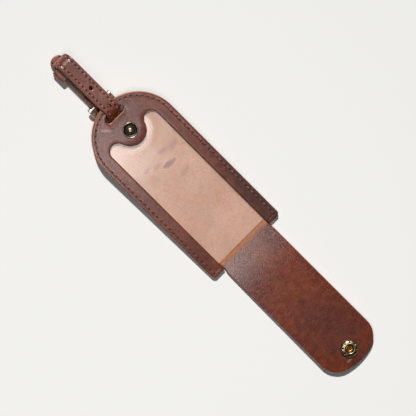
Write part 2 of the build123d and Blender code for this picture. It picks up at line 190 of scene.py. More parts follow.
class SlabBuilder:
    # Gathers one piece's slabs: each is a grid of plane points, lifted to a top and a bottom, then placed
    def __init__(self):
        self.verts, self.faces, self.edge, self.uv, self.count = [], [], [], [], 0

    def add(self, flat, top, bottom, place, wallLow, wallHigh, caps, edge, uv=None):
        rows, columns = flat.shape[:2]
        for height in (top, bottom):
            self.verts.append(place(flat[..., 0], flat[..., 1], height).reshape(-1, 3))
            self.edge.append(edge.ravel())
            self.uv.append(np.zeros((rows * columns, 2)) if uv is None else uv.reshape(-1, 2))
        self.faces.append(slabFaces(rows, columns, self.count, wallLow, wallHigh, caps))
        self.count += 2 * rows * columns

    def make(self, name, rides, replaced, material, weld=0.004, sharp=50):
        return makePiece(name, np.concatenate(self.verts), np.concatenate(self.faces), rides, replaced,
                         material, np.concatenate(self.edge), np.concatenate(self.uv), weld, sharp)


class Socket:
    # A node's output with Python's operators, so that shader maths reads as an expression on values
    def __init__(self, tree, link):
        self.tree, self.link = tree, link

    def math(self, operation, other=None, third=None):
        made = self.tree.nodes.new("ShaderNodeMath")
        made.operation = operation
        for slotIndex, value in enumerate((self, other, third)):
            if value is not None:
                connect(self.tree, made.inputs[slotIndex], value)
        return Socket(self.tree, made.outputs[0])

    def __add__(self, other): return self.math("ADD", other)
    def __radd__(self, other): return self.math("ADD", other)
    def __sub__(self, other): return self.math("SUBTRACT", other)
    def __rsub__(self, other): return (self * -1) + other
    def __mul__(self, other): return self.math("MULTIPLY", other)
    def __rmul__(self, other): return self.math("MULTIPLY", other)
    def __truediv__(self, other): return self.math("DIVIDE", other)

    def clip(self, low, high, invert=False):
        # A smooth step from 0 at low to 1 at high, or the reverse
        ends = (1, 0) if invert else (0, 1)
        made = self.tree.nodes.new("ShaderNodeMapRange")
        made.interpolation_type = "SMOOTHSTEP"
        connect(self.tree, made.inputs["Value"], self)
        for key, value in zip(("From Min", "From Max", "To Min", "To Max"), (low, high) + ends):
            made.inputs[key].default_value = value
        return Socket(self.tree, made.outputs[0])


def connect(tree, socket, value):
    if isinstance(value, Socket):
        tree.links.new(value.link, socket)
    else:
        socket.default_value = value


def addNode(tree, kind, settings=None, output=0, **sockets):
    # Any other node: its settings first, then its sockets by name
    made = tree.nodes.new("ShaderNode" + kind)
    for key, value in (settings or {}).items():
        setattr(made, key, value)
    for key, value in sockets.items():
        connect(tree, made.inputs[key], value)
    return Socket(tree, made.outputs[output])


def linear(red, green, blue):
    # An sRGB colour of 0 to 255 as linear values: ((c / 255 + 0.055) / 1.055)^2.4, or c / 3294 when dark
    channels = (((c / 255 + 0.055) / 1.055) ** 2.4 if c > 10 else c / 3294 for c in (red, green, blue))
    return tuple(channels) + (1,)


def startMaterial(name):
    material = bpy.data.materials.new(name)
    material.use_nodes = True
    tree = material.node_tree
    shader = tree.nodes["Principled BSDF"]
    return material, tree, shader


def splitVector(tree, vector):
    made = tree.nodes.new("ShaderNodeSeparateXYZ")
    connect(tree, made.inputs[0], vector)
    return [Socket(tree, out) for out in made.outputs]


def mixColour(tree, factor, first, second):
    made = tree.nodes.new("ShaderNodeMix")
    made.data_type = "RGBA"
    connect(tree, made.inputs[0], factor)
    connect(tree, made.inputs[6], first)
    connect(tree, made.inputs[7], second)
    return Socket(tree, made.outputs[2])


def addBump(tree, shader, strength, distance, height):
    bump = addNode(tree, "Bump", None, Strength=strength, Distance=distance, Height=height)
    connect(tree, shader.inputs["Normal"], bump)


def noiseAt(tree, place, scale, detail=3, roughness=0.55, distortion=0.0):
    return addNode(tree, "TexNoise", None, Vector=place, Scale=scale, Detail=detail, Roughness=roughness,
                   Distortion=distortion)


def ellipse(tree, place, middleX, middleY, length, width, turn):
    # (x / length)^2 + (y / width)^2 about a middle in mm, turned: 1 on the ellipse's outline
    local = addNode(tree, "Mapping", {"vector_type": "TEXTURE"}, Vector=place, Rotation=(0, 0, turn),
                    Location=(middleX / 1000, middleY / 1000, 0), Scale=(length / 1000, width / 1000, 1))
    localX, localY, _ = splitVector(tree, local)
    return localX * localX + localY * localY


# what every leather has unless its own look says otherwise; tints darker than darkTint also lose the coat's
# sheen; the pit colour is painted shade in the stitch holes
leather = {"rubbed": 0.35, "scratch": 0.25, "speck": 0.45, "rim": 0.8, "rimWidth": 0.5, "bump": 0.18,
           "bumpDepth": 0.0004, "specular": 0.6, "coatRoughness": 0.2, "skive": None, "marks": (),
           "seam": None, "darkTint": 0.3, "bare": linear(162, 92, 34), "bareDeep": linear(116, 56, 19),
           "pit": linear(44, 14, 8)}


def leatherMaterial(name, ownLook):
    # Pull-up leather: plum and rust mottling, dark specks, rubbed pale patches, raw cut edges, pores,
    # creases; each look's marks are rubbed patches and painted shade, and the stitch pits are coloured dark
    # as painted shade
    look = {**leather, **ownLook}
    material, tree, shader = startMaterial(name)
    place = addNode(tree, "Attribute", {"attribute_name": "rest"}, output=1)
    broad = noiseAt(tree, place, 48, 3, 0.55, 0.3).clip(0.34, 0.68)
    cloud = noiseAt(tree, place, 230, 5, 0.7, 0.3).clip(0.3, 0.72)
    fine = noiseAt(tree, place, 1100, 4, 0.7)
    colour = mixColour(tree, broad * 0.55 + cloud * 0.45, look["plum"], look["rust"])
    colour = mixColour(tree, fine.clip(0.42, 0.62) * 0.6, colour, look["rust"])
    speck = noiseAt(tree, place, 900, 5, 0.75).clip(0.5, 0.74)
    colour = mixColour(tree, speck * look["speck"], colour, look["deep"])
    rubbed = noiseAt(tree, place, 130, 4, 0.65, 0.8).clip(0.5, 0.72)
    colour = mixColour(tree, rubbed * look["rubbed"], colour, look["pale"])
    drawnOut = addNode(tree, "Mapping", None, Vector=place, Scale=(1, 0.2, 1), Rotation=(0, 0, 0.6))
    scratch = noiseAt(tree, drawnOut, 420, 4, 0.7, 1.2).clip(0.64, 0.72)
    colour = mixColour(tree, scratch * look["scratch"], colour, look["pale"])
    edge = addNode(tree, "Attribute", {"attribute_name": "edge"}, output=2)
    rim = (edge + (cloud - 0.5) * 0.5).clip(0.08, look["rimWidth"], invert=True)
    colour = mixColour(tree, rim * look["rim"], colour, look["cut"])
    dull = 0.0
    if look["skive"]:
        north = splitVector(tree, place)[1]
        bare = (north * 1000 + (cloud - 0.5) * 0.8).clip(*look["skive"])
        raw = mixColour(tree, fine.clip(0.4, 0.7), look["bare"], look["bareDeep"])
        colour = mixColour(tree, bare, colour, raw)
        dull = bare
    for spotX, spotY, length, width, turn, tint, strength in look["marks"]:
        # a mark: an ellipse x^2 + y^2 < 1, softened by noise; some are rubbed patches and some painted shade,
        # and the dark ones also lose the coat's sheen
        reach = ellipse(tree, place, spotX, spotY, length, width, turn)
        markAndShade = (reach + (fine - 0.5) * 1.6 + (cloud - 0.5) * 0.8).clip(0.1, 1.0, invert=True)
        colour = mixColour(tree, markAndShade * strength, colour, tint)
        if tint[0] < look["darkTint"]:
            dull = (markAndShade * strength * 0.9 + dull).clip(0, 1)
    pores = addNode(tree, "TexVoronoi", {"feature": "SMOOTH_F1"}, Vector=place, Scale=1150, Smoothness=0.4)
    creases = addNode(tree, "TexVoronoi", {"feature": "DISTANCE_TO_EDGE"}, Vector=place, Scale=820)
    height = pores * 0.45 + creases.clip(0.0, 0.2) * 0.15 + fine * 0.55 + cloud * 0.5
    roughness = look["roughness"] + (cloud - 0.5) * 0.1 + (fine - 0.5) * 0.1
    wax = (cloud * 0.15 + fine * 1.2 - 0.15).clip(0.15, 0.85) * (1 - rim) * look["coat"]
    if isinstance(dull, Socket):
        wax = wax * (1 - dull)
        roughness = roughness + dull * 0.2
    if look["seam"]:
        # a pit between each two stitches, at whole numbers along the seam, and pressed leather round them;
        # the pit's dark colour is painted shade in the stitch hole
        along, across, _ = splitVector(tree, addNode(tree, "UVMap", {"uv_map": "seam"}))
        along = (along + 0.5).math("FRACT") - 0.5
        reach = (along * look["seam"] * 0.95).math("POWER", 2) + (across * 1.05).math("POWER", 2)
        pit = (reach + (fine - 0.5) * 0.2).clip(0.1, 0.56, invert=True)
        pressed = across.math("ABSOLUTE").clip(0.3, 1.0, invert=True)
        colour = mixColour(tree, pressed * 0.12, colour, look["deep"])
        # painted shade: the stitch holes are coloured dark
        colour = mixColour(tree, pit * 0.95, colour, look["pit"])
        height = height - pit * 3.0 - pressed * 0.25
        roughness = roughness + pit * 0.5
        wax = wax * (1 - pit)
    connect(tree, shader.inputs["Base Color"], colour)
    connect(tree, shader.inputs["Roughness"], roughness + rim * 0.25)
    addBump(tree, shader, look["bump"], look["bumpDepth"], height)
    connect(tree, shader.inputs["Coat Weight"], wax)
    shader.inputs["Specular IOR Level"].default_value = look["specular"]
    shader.inputs["Coat Roughness"].default_value = look["coatRoughness"]
    return material


# each mark (rubbed patches and painted shade): x, y, half length, half width, turn, tint, strength
faceLook = {
    "plum": linear(72, 30, 23), "rust": linear(120, 54, 31), "deep": linear(48, 20, 15),
    "pale": linear(126, 80, 68), "cut": linear(206, 124, 62), "rimWidth": 0.62,
    "roughness": 0.33, "coat": 1.0, "specular": 0.5, "seam": body["seamPitch"], "bump": 0.21,
    "marks": [(-10.6, 77.0, 3.2, 1.0, -0.75, linear(186, 140, 128), 0.48),
              # painted shade: the right leg darker towards its foot, with its coat's sheen taken away
              (25.0, -22.0, 9.0, 46.0, 0.0, linear(46, 18, 15), 0.72)],
}
flapLook = {
    "plum": linear(72, 25, 17), "rust": linear(122, 50, 17), "deep": linear(42, 16, 12),
    "pale": linear(104, 56, 44), "cut": linear(188, 104, 54), "rimWidth": 0.42,
    "roughness": 0.26, "coat": 1.0, "specular": 0.5, "rubbed": 0.2, "bump": 0.16,
    "skive": (footY - 5.8, footY - 3.0),
    "marks": [(-5.0, -125.5, 2.6, 1.0, 0.0, linear(170, 128, 104), 0.6),
              # painted shade: the flap darker towards its end, with its coat's sheen taken away
              (3.0, -105.0, 26.0, 34.0, 0.0, linear(68, 25, 15), 0.45)],
}
backLook = {
    "plum": linear(82, 40, 32), "rust": linear(114, 56, 38), "deep": linear(54, 24, 18),
    "pale": linear(134, 88, 74), "cut": linear(196, 112, 60),
    "roughness": 0.42, "coat": 0.25, "seam": body["seamPitch"],
}
strapLook = {
    "plum": linear(86, 38, 30), "rust": linear(120, 57, 38), "deep": linear(52, 22, 16),
    "pale": linear(138, 88, 74), "cut": linear(150, 84, 52), "rimWidth": 0.3,
    "roughness": 0.35, "coat": 0.55, "rubbed": 0.5, "bump": 0.3,
    # painted shade: the strap darker and more orange where it bends down into the slot, facing away from the
    # light
    "marks": [(1.4, 84.5, 9.0, 8.5, 0.0, linear(106, 44, 12), 1.0),
              (-1.5, 127.5, 7.0, 2.6, 0.0, linear(150, 82, 50), 0.5),
              (-8.8, 119.5, 3.2, 5.0, 0.0, linear(136, 70, 38), 0.6)],
}

# each smudge: x, y, half length, half width, turn, strength
smudgeGrowth = 1.25
fleshSmudges = [
    (2.4, 36.2, 4.4, 1.7, -0.1, 0.6), (4.6, 44.8, 3.6, 1.5, -0.1, 0.35), (11.8, 42.6, 4.2, 2.2, 0.2, 0.25),
    (-11.0, 42.4, 3.0, 1.2, 0.1, 0.35), (5.9, 26.8, 3.6, 2.0, 0.3, 0.2), (-4.0, 40.0, 3.2, 1.2, 0.0, 0.25),
    (-6.0, -6.0, 5.0, 3.0, 0.8, 0.12),
]


def fleshMaterial():
    # Tan flesh side of the leather: soft naps, and faint smudges where ink has rubbed off a card
    material, tree, shader = startMaterial("tanFlesh")
    place = addNode(tree, "TexCoord", output=3)
    cloud = noiseAt(tree, place, 40, 4, 0.6).clip(0.35, 0.7)
    nap = noiseAt(tree, place, 900, 5, 0.75)
    blush = noiseAt(tree, place, 160, 4, 0.6, 0.6).clip(0.45, 0.7)
    colour = mixColour(tree, cloud, linear(196, 161, 142), linear(209, 175, 157))
    colour = mixColour(tree, blush * 0.35, colour, linear(200, 146, 118))
    colour = mixColour(tree, nap.clip(0.42, 0.7) * 0.42, colour, linear(168, 120, 98))
    smear = noiseAt(tree, place, 420, 4, 0.65, 0.8)
    for smudgeX, smudgeY, length, width, turn, strength in fleshSmudges:
        reach = ellipse(tree, place, smudgeX, smudgeY, length * smudgeGrowth, width * smudgeGrowth, turn)
        smudge = (reach + (smear - 0.5) * 1.6).clip(0.1, 1.1, invert=True)
        colour = mixColour(tree, smudge * strength, colour, linear(128, 92, 102))
    stain = noiseAt(tree, place, 75, 3, 0.6, 0.5).clip(0.58, 0.72)
    colour = mixColour(tree, stain * 0.22, colour, linear(150, 112, 102))
    connect(tree, shader.inputs["Base Color"], colour)
    addBump(tree, shader, 0.25, 0.0003, nap)
    shader.inputs["Roughness"].default_value = 0.8
    return material


def threadMaterial(name, dark, light):
    # Waxed thread: two tones in slow patches, and fine fuzz
    material, tree, shader = startMaterial(name)
    place = addNode(tree, "TexCoord", output=3)
    tint = noiseAt(tree, place, 260, 3, 0.6).clip(0.35, 0.7)
    fuzz = noiseAt(tree, place, 4200, 2, 0.6)
    colour = mixColour(tree, tint, dark, light)
    connect(tree, shader.inputs["Base Color"], colour)
    connect(tree, shader.inputs["Roughness"], 0.5 + (fuzz - 0.5) * 0.3)
    addBump(tree, shader, 0.3, 0.0001, fuzz)
    shader.inputs["Specular IOR Level"].default_value = 0.2
    return material


def metalMaterial(name, look):
    # Plated metal: bright where it is rubbed (the edge value is high), dark and dull where it isn't
    material, tree, shader = startMaterial(name)
    place = addNode(tree, "TexCoord", output=3)
    worn = addNode(tree, "Attribute", {"attribute_name": "edge"}, output=2)
    cloud = noiseAt(tree, place, 900, 4, 0.65)
    spots = noiseAt(tree, place, 2600, 3, 0.6)
    bright = (worn + (cloud - 0.5) * 0.3).clip(0.1, 0.75)
    colour = mixColour(tree, bright, look["dark"], look["bright"])
    colour = mixColour(tree, spots.clip(0.6, 0.74) * 0.3, colour, look["dark"])
    connect(tree, shader.inputs["Base Color"], colour)
    connect(tree, shader.inputs["Roughness"], look["roughness"] - bright * 0.12 + (spots - 0.5) * 0.2)
    shader.inputs["Metallic"].default_value = 1.0
    addBump(tree, shader, 0.12, 0.0001, cloud)
    return material


vinyl = {"tint": (0.985, 0.98, 0.975, 1), "roughness": 0.16, "index": 1.5, "mirror": 0.75, "haze": 0.006,
         "tongueHaze": 0.010, "bump": 0.2}


def vinylMaterial():
    # Clear sheet: see-through, with a mirror's share of fresnel x mirror, a little haze all over, and a
    # painted highlight near the tongue: a stronger reflection laid there by position
    material, tree, shader = startMaterial("clearVinyl")
    place = addNode(tree, "TexCoord", output=3)
    haze = noiseAt(tree, place, 70, 3, 0.55).clip(0.35, 0.75)
    drawnOut = addNode(tree, "Mapping", None, Vector=place, Scale=(1, 0.5, 1))
    ripple = noiseAt(tree, drawnOut, 60, 2, 0.5)
    clear = tree.nodes.new("ShaderNodeBsdfTransparent")
    clear.inputs[0].default_value = vinyl["tint"]
    shader.inputs["Base Color"].default_value = (1, 1, 1, 1)
    shader.inputs["Metallic"].default_value = 1.0
    shader.inputs["Roughness"].default_value = vinyl["roughness"]
    addBump(tree, shader, vinyl["bump"], 0.0006, ripple)
    fresnel = addNode(tree, "Fresnel", None, IOR=vinyl["index"])
    placeX, placeY, _ = splitVector(tree, place)
    # painted highlight: the sheet's reflection made stronger towards the tongue by position
    tongueHaze = (placeY * 1000 - placeX.math("ABSOLUTE") * 260).clip(40, 60)
    mix = tree.nodes.new("ShaderNodeMixShader")
    share = fresnel * vinyl["mirror"] + haze * vinyl["haze"] + tongueHaze * vinyl["tongueHaze"]
    connect(tree, mix.inputs[0], share)
    tree.links.new(clear.outputs[0], mix.inputs[1])
    tree.links.new(shader.outputs[0], mix.inputs[2])
    tree.links.new(mix.outputs[0], tree.nodes["Material Output"].inputs["Surface"])
    return material


faceLeather = leatherMaterial("faceLeather", faceLook)
flapLeather = leatherMaterial("flapLeather", flapLook)
backLeather = leatherMaterial("backLeather", backLook)
strapLeather = leatherMaterial("strapLeather", strapLook)
tanFlesh = fleshMaterial()
waxedThread = threadMaterial("waxedThread", linear(108, 62, 52), linear(150, 104, 92))
strapThread = threadMaterial("strapThread", linear(150, 98, 88), linear(190, 140, 130))
antiqueBrass = metalMaterial("antiqueBrass", {
    "dark": linear(50, 48, 48), "bright": linear(178, 158, 120), "roughness": 0.4})
goldBrass = metalMaterial("goldBrass", {
    "dark": linear(84, 62, 38), "bright": linear(206, 140, 60), "roughness": 0.4})
nickel = metalMaterial("wornNickel", {
    "dark": linear(150, 142, 134), "bright": linear(222, 217, 208), "roughness": 0.46})
clearVinyl = vinylMaterial()
print("materials made")


# Camera: long lens, almost straight above, turned so that the tag lies corner to corner
view = {"aim": (-0.2, 0.6, 3.0), "tilt": 4.5, "distance": 1.3, "span": 0.2508, "turn": 45, "sensor": 36}
tilt = math.radians(view["tilt"])
aim = Vector(view["aim"]) * 0.001
eye = aim + view["distance"] * Vector((0, math.sin(tilt), math.cos(tilt)))
back = (eye - aim).normalized()
turn = math.radians(view["turn"])
upwards = Vector((math.sin(turn), math.cos(turn), 0))
side = upwards.cross(back).normalized()
cameraUp = back.cross(side)
cameraData = bpy.data.cameras.new("camera")
cameraData.sensor_width = view["sensor"]
cameraData.lens = view["sensor"] * view["distance"] / view["span"]
camera = addObject("camera", cameraData)
camera.matrix_world = Matrix.Translation(eye) @ Matrix((side, cameraUp, back)).transposed().to_4x4()
bpy.context.scene.camera = camera

# Light: one key from beyond the strap and to its right, a soft box overhead, and a pale room
light = {"key": (0.285, 0.462, 0.839), "keyStrength": 3.3, "keySize": 3.5, "room": 0.022,
         "roomTint": (1.0, 0.995, 0.985, 1), "floorTint": (0.85, 0.845, 0.82, 1), "floorRoughness": 0.9}
softBox = {"power": 0.42, "size": (0.20, 0.10), "place": (-0.09, 0.01, 0.55)}
keyData = bpy.data.lights.new("key", "SUN")
keyData.energy = light["keyStrength"]
keyData.angle = math.radians(light["keySize"])
key = addObject("key", keyData)
key.rotation_euler = Vector(light["key"]).to_track_quat("Z", "Y").to_euler()
softData = bpy.data.lights.new("softBox", "AREA")
softData.shape = "RECTANGLE"
softData.size, softData.size_y = softBox["size"]
softData.energy = softBox["power"]
soft = addObject("softBox", softData)
soft.location = softBox["place"]
soft.visible_camera = False
world = bpy.data.worlds.new("room")
bpy.context.scene.world = world
world.use_nodes = True
background = world.node_tree.nodes["Background"]
background.inputs[0].default_value = light["roomTint"]
background.inputs[1].default_value = light["room"]
bpy.context.scene.view_settings.view_transform = "Standard"

floorMaterial, _, floorShader = startMaterial("paleFloor")
floorShader.inputs["Base Color"].default_value = light["floorTint"]
floorShader.inputs["Roughness"].default_value = light["floorRoughness"]
floorMesh = bpy.data.meshes.new("floor")
floorMesh.from_pydata([(-2, -2, 0), (2, -2, 0), (2, 2, 0), (-2, 2, 0)], [], [(0, 1, 2, 3)])
floorMesh.materials.append(floorMaterial)
floor = addObject("floor", floorMesh)
print("camera, light and floor made")


def lengthwise(points, fractions):
    # Points at these fractions of a polyline's length
    points = np.asarray(points, float)
    run = np.concatenate([[0], np.cumsum(np.linalg.norm(np.diff(points, axis=0), axis=1))])
    return np.stack([np.interp(np.asarray(fractions) * run[-1], run, points[:, k]) for k in range(2)], -1)


def acrossBand(low, high, lowOffsets, highOffsets, middle):
    # Grid between two edge curves: fixed distances in from each edge, and even steps between
    span = high - low
    width = np.linalg.norm(span, axis=1)[:, None]
    direction = span / width
    first = np.array(lowOffsets)[None, :] + 0 * width
    last = width - np.array(highOffsets)[None, ::-1]
    share = np.linspace(0, 1, middle + 2)[1:-1][None, :]
    between = first[:, -1:] * (1 - share) + last[:, :1] * share
    reach = np.concatenate([first, between, last], 1)
    flat = low[:, None, :] + direction[:, None, :] * reach[..., None]
    return flat, reach, width - reach


# the arch's centre, the slot's middle, and the seam: its line, and whole stitches up a leg and over the arch
archV = body["length"] - body["width"] / 2
slotV = body["length"] - body["web"] - body["slotWidth"] / 2
seamX, seamFoot = body["width"] / 2 - body["seamInset"], body["seamInset"]
legCount = round((archV - seamFoot) / body["seamPitch"])
legPitch = (archV - seamFoot) / legCount
archCount = round(math.pi * seamX / body["seamPitch"])


def seamUv(flat):
    # Stitch number along the seam and distance from it in mm, for a point of the tag's plane
    x, v = flat[..., 0], flat[..., 1]
    onArch = v > archV
    angle = np.arctan2(v - archV, np.abs(x))
    along = np.where(onArch, angle * archCount / math.pi, (v - seamFoot) / legPitch)
    across = np.where(onArch, np.hypot(x, v - archV), np.abs(x)) - seamX
    return np.stack([along, across], -1)


def seamDip(flat):
    # The thread's groove, with the foot's stitches too: depth exp(-(d / width)^2)
    v, x = flat[..., 1], np.abs(flat[..., 0])
    foot = np.abs(np.where((x > 20.8) & (x < 26), v - seamFoot, 9))
    d = np.minimum(np.abs(seamUv(flat)[..., 1]), foot)
    d = np.where(v < seamFoot - 0.2, foot, d)
    return body["groove"] * np.exp(-(d / body["grooveWidth"]) ** 2)


# how far in from an edge a rounding's rows lie, as shares of its radius, and a distance past any edge
rollSteps = 1 - np.cos(np.radians([0, 20, 42, 65, 90]))
farAway = 99.0


def halfToWhole(half):
    # Mirrors rows of the right half across the tag's middle and joins the two
    other = half[::-1].copy()
    other[..., 0] *= -1
    return np.concatenate([half, other[1:]])


def arc(middleX, middleY, radius, angles):
    return np.stack([middleX + radius * np.cos(angles), middleY + radius * np.sin(angles)], -1)


def legOuter(v):
    # A leg's outer side at height v, with its foot's rounded corner: half - r + sqrt(r^2 - (r - v)^2)
    r = body["corner"]
    return body["width"] / 2 - r + np.sqrt(r ** 2 - np.clip(r - v, 0, r) ** 2)


def tagRows():
    # The tag's edge curves, from one leg's foot over the top to the other: window, two middles, outer.
    # The right half is made first: window side, lobe and tongue against leg, bend, slot and arch.
    half = body["width"] / 2
    windowX = half - body["leg"]
    midX = windowX + 3.4
    lobeX = windowX - body["lobe"]
    rise = body["studUp"] - body["lobeUp"]
    tongue = math.hypot(lobeX, rise) - body["lobe"]
    foot = np.array([0, 0.06, 0.2, 0.45, 0.8, 1.2, 1.6, 1.95, 2.2, 2.4, 2.6, 2.9, 3.3, 3.8])
    v = np.concatenate([foot, np.linspace(5, archV, 34)])
    window = np.stack([0 * v + windowX, v], -1)
    middle = np.stack([0 * v + midX, v], -1)
    outer = np.stack([legOuter(v), v], -1)
    # the lobe: up the window's side and round to where it meets the tongue
    lobeTurn = np.linspace(0, math.pi - math.atan2(rise, lobeX), 30)
    lobeCurve = np.concatenate([[[windowX, archV]], arc(lobeX, body["lobeUp"], body["lobe"], lobeTurn)])
    slotEnd = body["slotLength"] / 2
    q = np.linspace(0, 1, 24)[:, None]
    # from the leg's middle to the slot's end: (1 - q)^2 a + 2 q (1 - q) b + q^2 c
    bend = (1 - q) ** 2 * [[midX, archV]] + 2 * q * (1 - q) * [[midX, slotV]] + q ** 2 * [[slotEnd, slotV]]
    steps = np.linspace(0, 1, 23)[1:]
    archTurn = math.radians(73)
    outerTurn = steps * archTurn
    window = np.concatenate([window, lengthwise(lobeCurve, steps)])
    middle = np.concatenate([middle, lengthwise(bend, steps)])
    outer = np.concatenate([outer, arc(0, archV, half, outerTurn)])
    lowMiddle, highMiddle = middle.copy(), middle.copy()
    # the slot: its stadium's half height h(x), opened between the two middles
    radius = body["slotWidth"] / 2
    slotX = np.concatenate([slotEnd - radius + radius * np.cos(np.radians([12, 26, 42, 58, 74, 90])),
                            (slotEnd - radius) * np.linspace(1, 0, 7)[1:]])
    h = np.sqrt(np.maximum(radius ** 2 - np.clip(slotX - (slotEnd - radius), 0, radius) ** 2, 0))
    share = 1 - slotX / slotEnd
    # the tongue's arc from the meeting point down to its lowest point
    startAngle = -math.asin(rise / math.hypot(lobeX, rise))
    tongueTurn = startAngle + share * (-math.pi / 2 - startAngle)
    outerTurn = archTurn + share * (math.pi / 2 - archTurn)
    window = np.concatenate([window, arc(0, body["studUp"], tongue, tongueTurn)])
    lowMiddle = np.concatenate([lowMiddle, np.stack([slotX, slotV - h], -1)])
    highMiddle = np.concatenate([highMiddle, np.stack([slotX, slotV + h], -1)])
    outer = np.concatenate([outer, arc(0, archV, half, outerTurn)])
    inSlot = np.zeros(len(outer), bool)
    inSlot[-len(slotX):] = True
    curves = [halfToWhole(c) for c in (window, lowMiddle, highMiddle, outer)]
    return curves, np.concatenate([inSlot, inSlot[::-1][1:]])


def makeFrontPanel():
    # U-shaped frame with the slot: two slabs side by side that part at the slot
    (window, lowMiddle, highMiddle, outer), inSlot = tagRows()
    roll = body["roll"]
    built = SlabBuilder()
    always = np.ones(len(outer), bool)
    seamSteps = [1.2, 1.7, 2.05, 2.4, 2.75, 3.1, 3.6]
    for low, high, lowWall, highWall, highOffsets in (
            (window, lowMiddle, always, inSlot, roll * rollSteps),
            (highMiddle, outer, inSlot, always, np.concatenate([roll * rollSteps, seamSteps]))):
        flat, fromLow, fromHigh = acrossBand(low, high, roll * rollSteps, highOffsets, 3)
        edge = np.minimum(np.where(lowWall[:, None], fromLow, farAway),
                          np.where(highWall[:, None], fromHigh, farAway))
        edge = np.minimum(edge, flat[..., 1])
        top = frontTop - rolled(edge, roll) - seamDip(flat)
        # the raw edge's orange shows round the arch and at the slot's lower side, which face the light; along
        # the legs it is held back as painted shade
        arch = np.clip((flat[..., 1] - 88) / 14, 0, 1) * (fromHigh < 1.5)
        slotSide = (low is window) & (fromHigh < 1.2)
        edgeShade = 0.42 * (1 - np.maximum(arch, slotSide))
        outerGap = np.clip((fromHigh - 1.0) / 3.0, 0, 1) if low is highMiddle else np.ones_like(edge)
        bottom = frontLow - body["sheet"] * (1 - outerGap) + rolled(edge, roll * 0.25)
        built.add(flat, top, bottom, tagPoint, lowWall, highWall, (0, len(low) - 1), edge + edgeShade,
                  seamUv(flat))
    built.make("tag_front_panel", "tag", ["front_panel"], faceLeather)


makeFrontPanel()
print("front panel made")


backSettings = {"roll": 0.45, "upperRoll": 0.2, "notchGap": 0.25, "notchDrop": 1.5, "seamShare": 0.6}


def makeBackPanel():
    # Solid arch with the slot below the frame; its foot is notched where the flap starts
    roll = backSettings["roll"]
    half, radius = body["width"] / 2, body["slotWidth"] / 2
    notchX = flap["width"] / 2 + backSettings["notchGap"]
    notchUp = body["foldUp"] - backSettings["notchDrop"]
    built = SlabBuilder()

    def addSlab(flat, edge, wallLow, wallHigh, caps):
        top = body["leather"] - rolled(edge, backSettings["upperRoll"])
        bottom = rolled(edge, roll) + backSettings["seamShare"] * seamDip(flat)
        built.add(flat, top, bottom, tagPoint, wallLow, wallHigh, caps, edge, seamUv(flat))

    # legs' feet, outside the notch
    v = np.array([0, 0.06, 0.2, 0.45, 0.8, 1.3, 1.9, 2.4, 3.0, 3.8, notchUp])
    wall = np.ones(len(v), bool)
    for sign in (1, -1):
        low = np.stack([sign * (notchX + 0 * v), v], -1)
        high = np.stack([sign * legOuter(v), v], -1)
        flat, fromLow, fromHigh = acrossBand(low, high, roll * rollSteps, roll * rollSteps, 4)
        addSlab(flat, np.minimum(np.minimum(fromLow, fromHigh), flat[..., 1]), wall, wall, (0,))
    # the rest in straight rows across, parted at the slot
    slotHalf = body["slotLength"] / 2
    rows = np.concatenate([np.linspace(notchUp, archV, 30),
                           archV + half * np.sin(np.radians(np.linspace(0, 90, 40)[1:-6]))])
    slotRows = slotV + radius * np.sin(np.radians([-90, -75, -55, -35, -12, 12, 35, 55, 75, 90]))
    topRows = body["length"] - np.array([0.9, 0.5, 0.22, 0.06, 0.0])
    rows = np.concatenate([rows[rows < slotV - radius - 0.3], slotRows,
                           np.linspace(slotV + radius + 0.5, body["length"] - 1.5, 9), topRows])
    outerX = np.where(rows > archV, np.sqrt(np.maximum(half ** 2 - (rows - archV) ** 2, 0)), half)
    outerX = np.maximum(outerX, 0.02)
    inSlot = np.abs(rows - slotV) < radius - 1e-6
    slotEdge = slotHalf - radius + np.sqrt(np.maximum(radius ** 2 - (rows - slotV) ** 2, 0))
    gap = np.where(inSlot, slotEdge, 0)
    shares = np.concatenate([[0, 0.04, 0.1], np.linspace(0.2, 0.9, 9), [0.93, 0.955, 0.975, 0.99, 1]])
    x = gap[:, None] + (outerX - gap)[:, None] * shares[None, :]
    v = rows[:, None] + 0 * x
    fromOuter = half - np.where(v > archV, np.hypot(x, v - archV), x)
    fromSlot = np.hypot(np.maximum(x - (slotHalf - radius), 0), v - slotV) - radius
    edge = np.maximum(np.minimum(fromOuter, np.abs(fromSlot)), 0)
    for sign in (1, -1):
        addSlab(np.stack([sign * x, v], -1), edge, inSlot, np.ones(len(rows), bool), (0, len(rows) - 1))
    panel = built.make("tag_back_panel", "tag", ["back_panel"], backLeather)
    # the flesh side shows through the window: upper faces between the legs and below the stud
    panel.data.materials.append(tanFlesh)
    middle, normal = (np.empty(3 * len(panel.data.polygons)) for _ in range(2))
    panel.data.polygons.foreach_get("center", middle)
    panel.data.polygons.foreach_get("normal", normal)
    middle, normal = middle.reshape(-1, 3) * 1000, normal.reshape(-1, 3)
    upper = normal @ np.array([0, -math.sin(lean), math.cos(lean)]) > 0.9
    bare = upper & (np.abs(middle[:, 0]) < 23.5) & (middle[:, 1] < foldY + 108)
    panel.data.polygons.foreach_set("material_index", bare.astype(np.int32))


makeBackPanel()
print("back panel made")


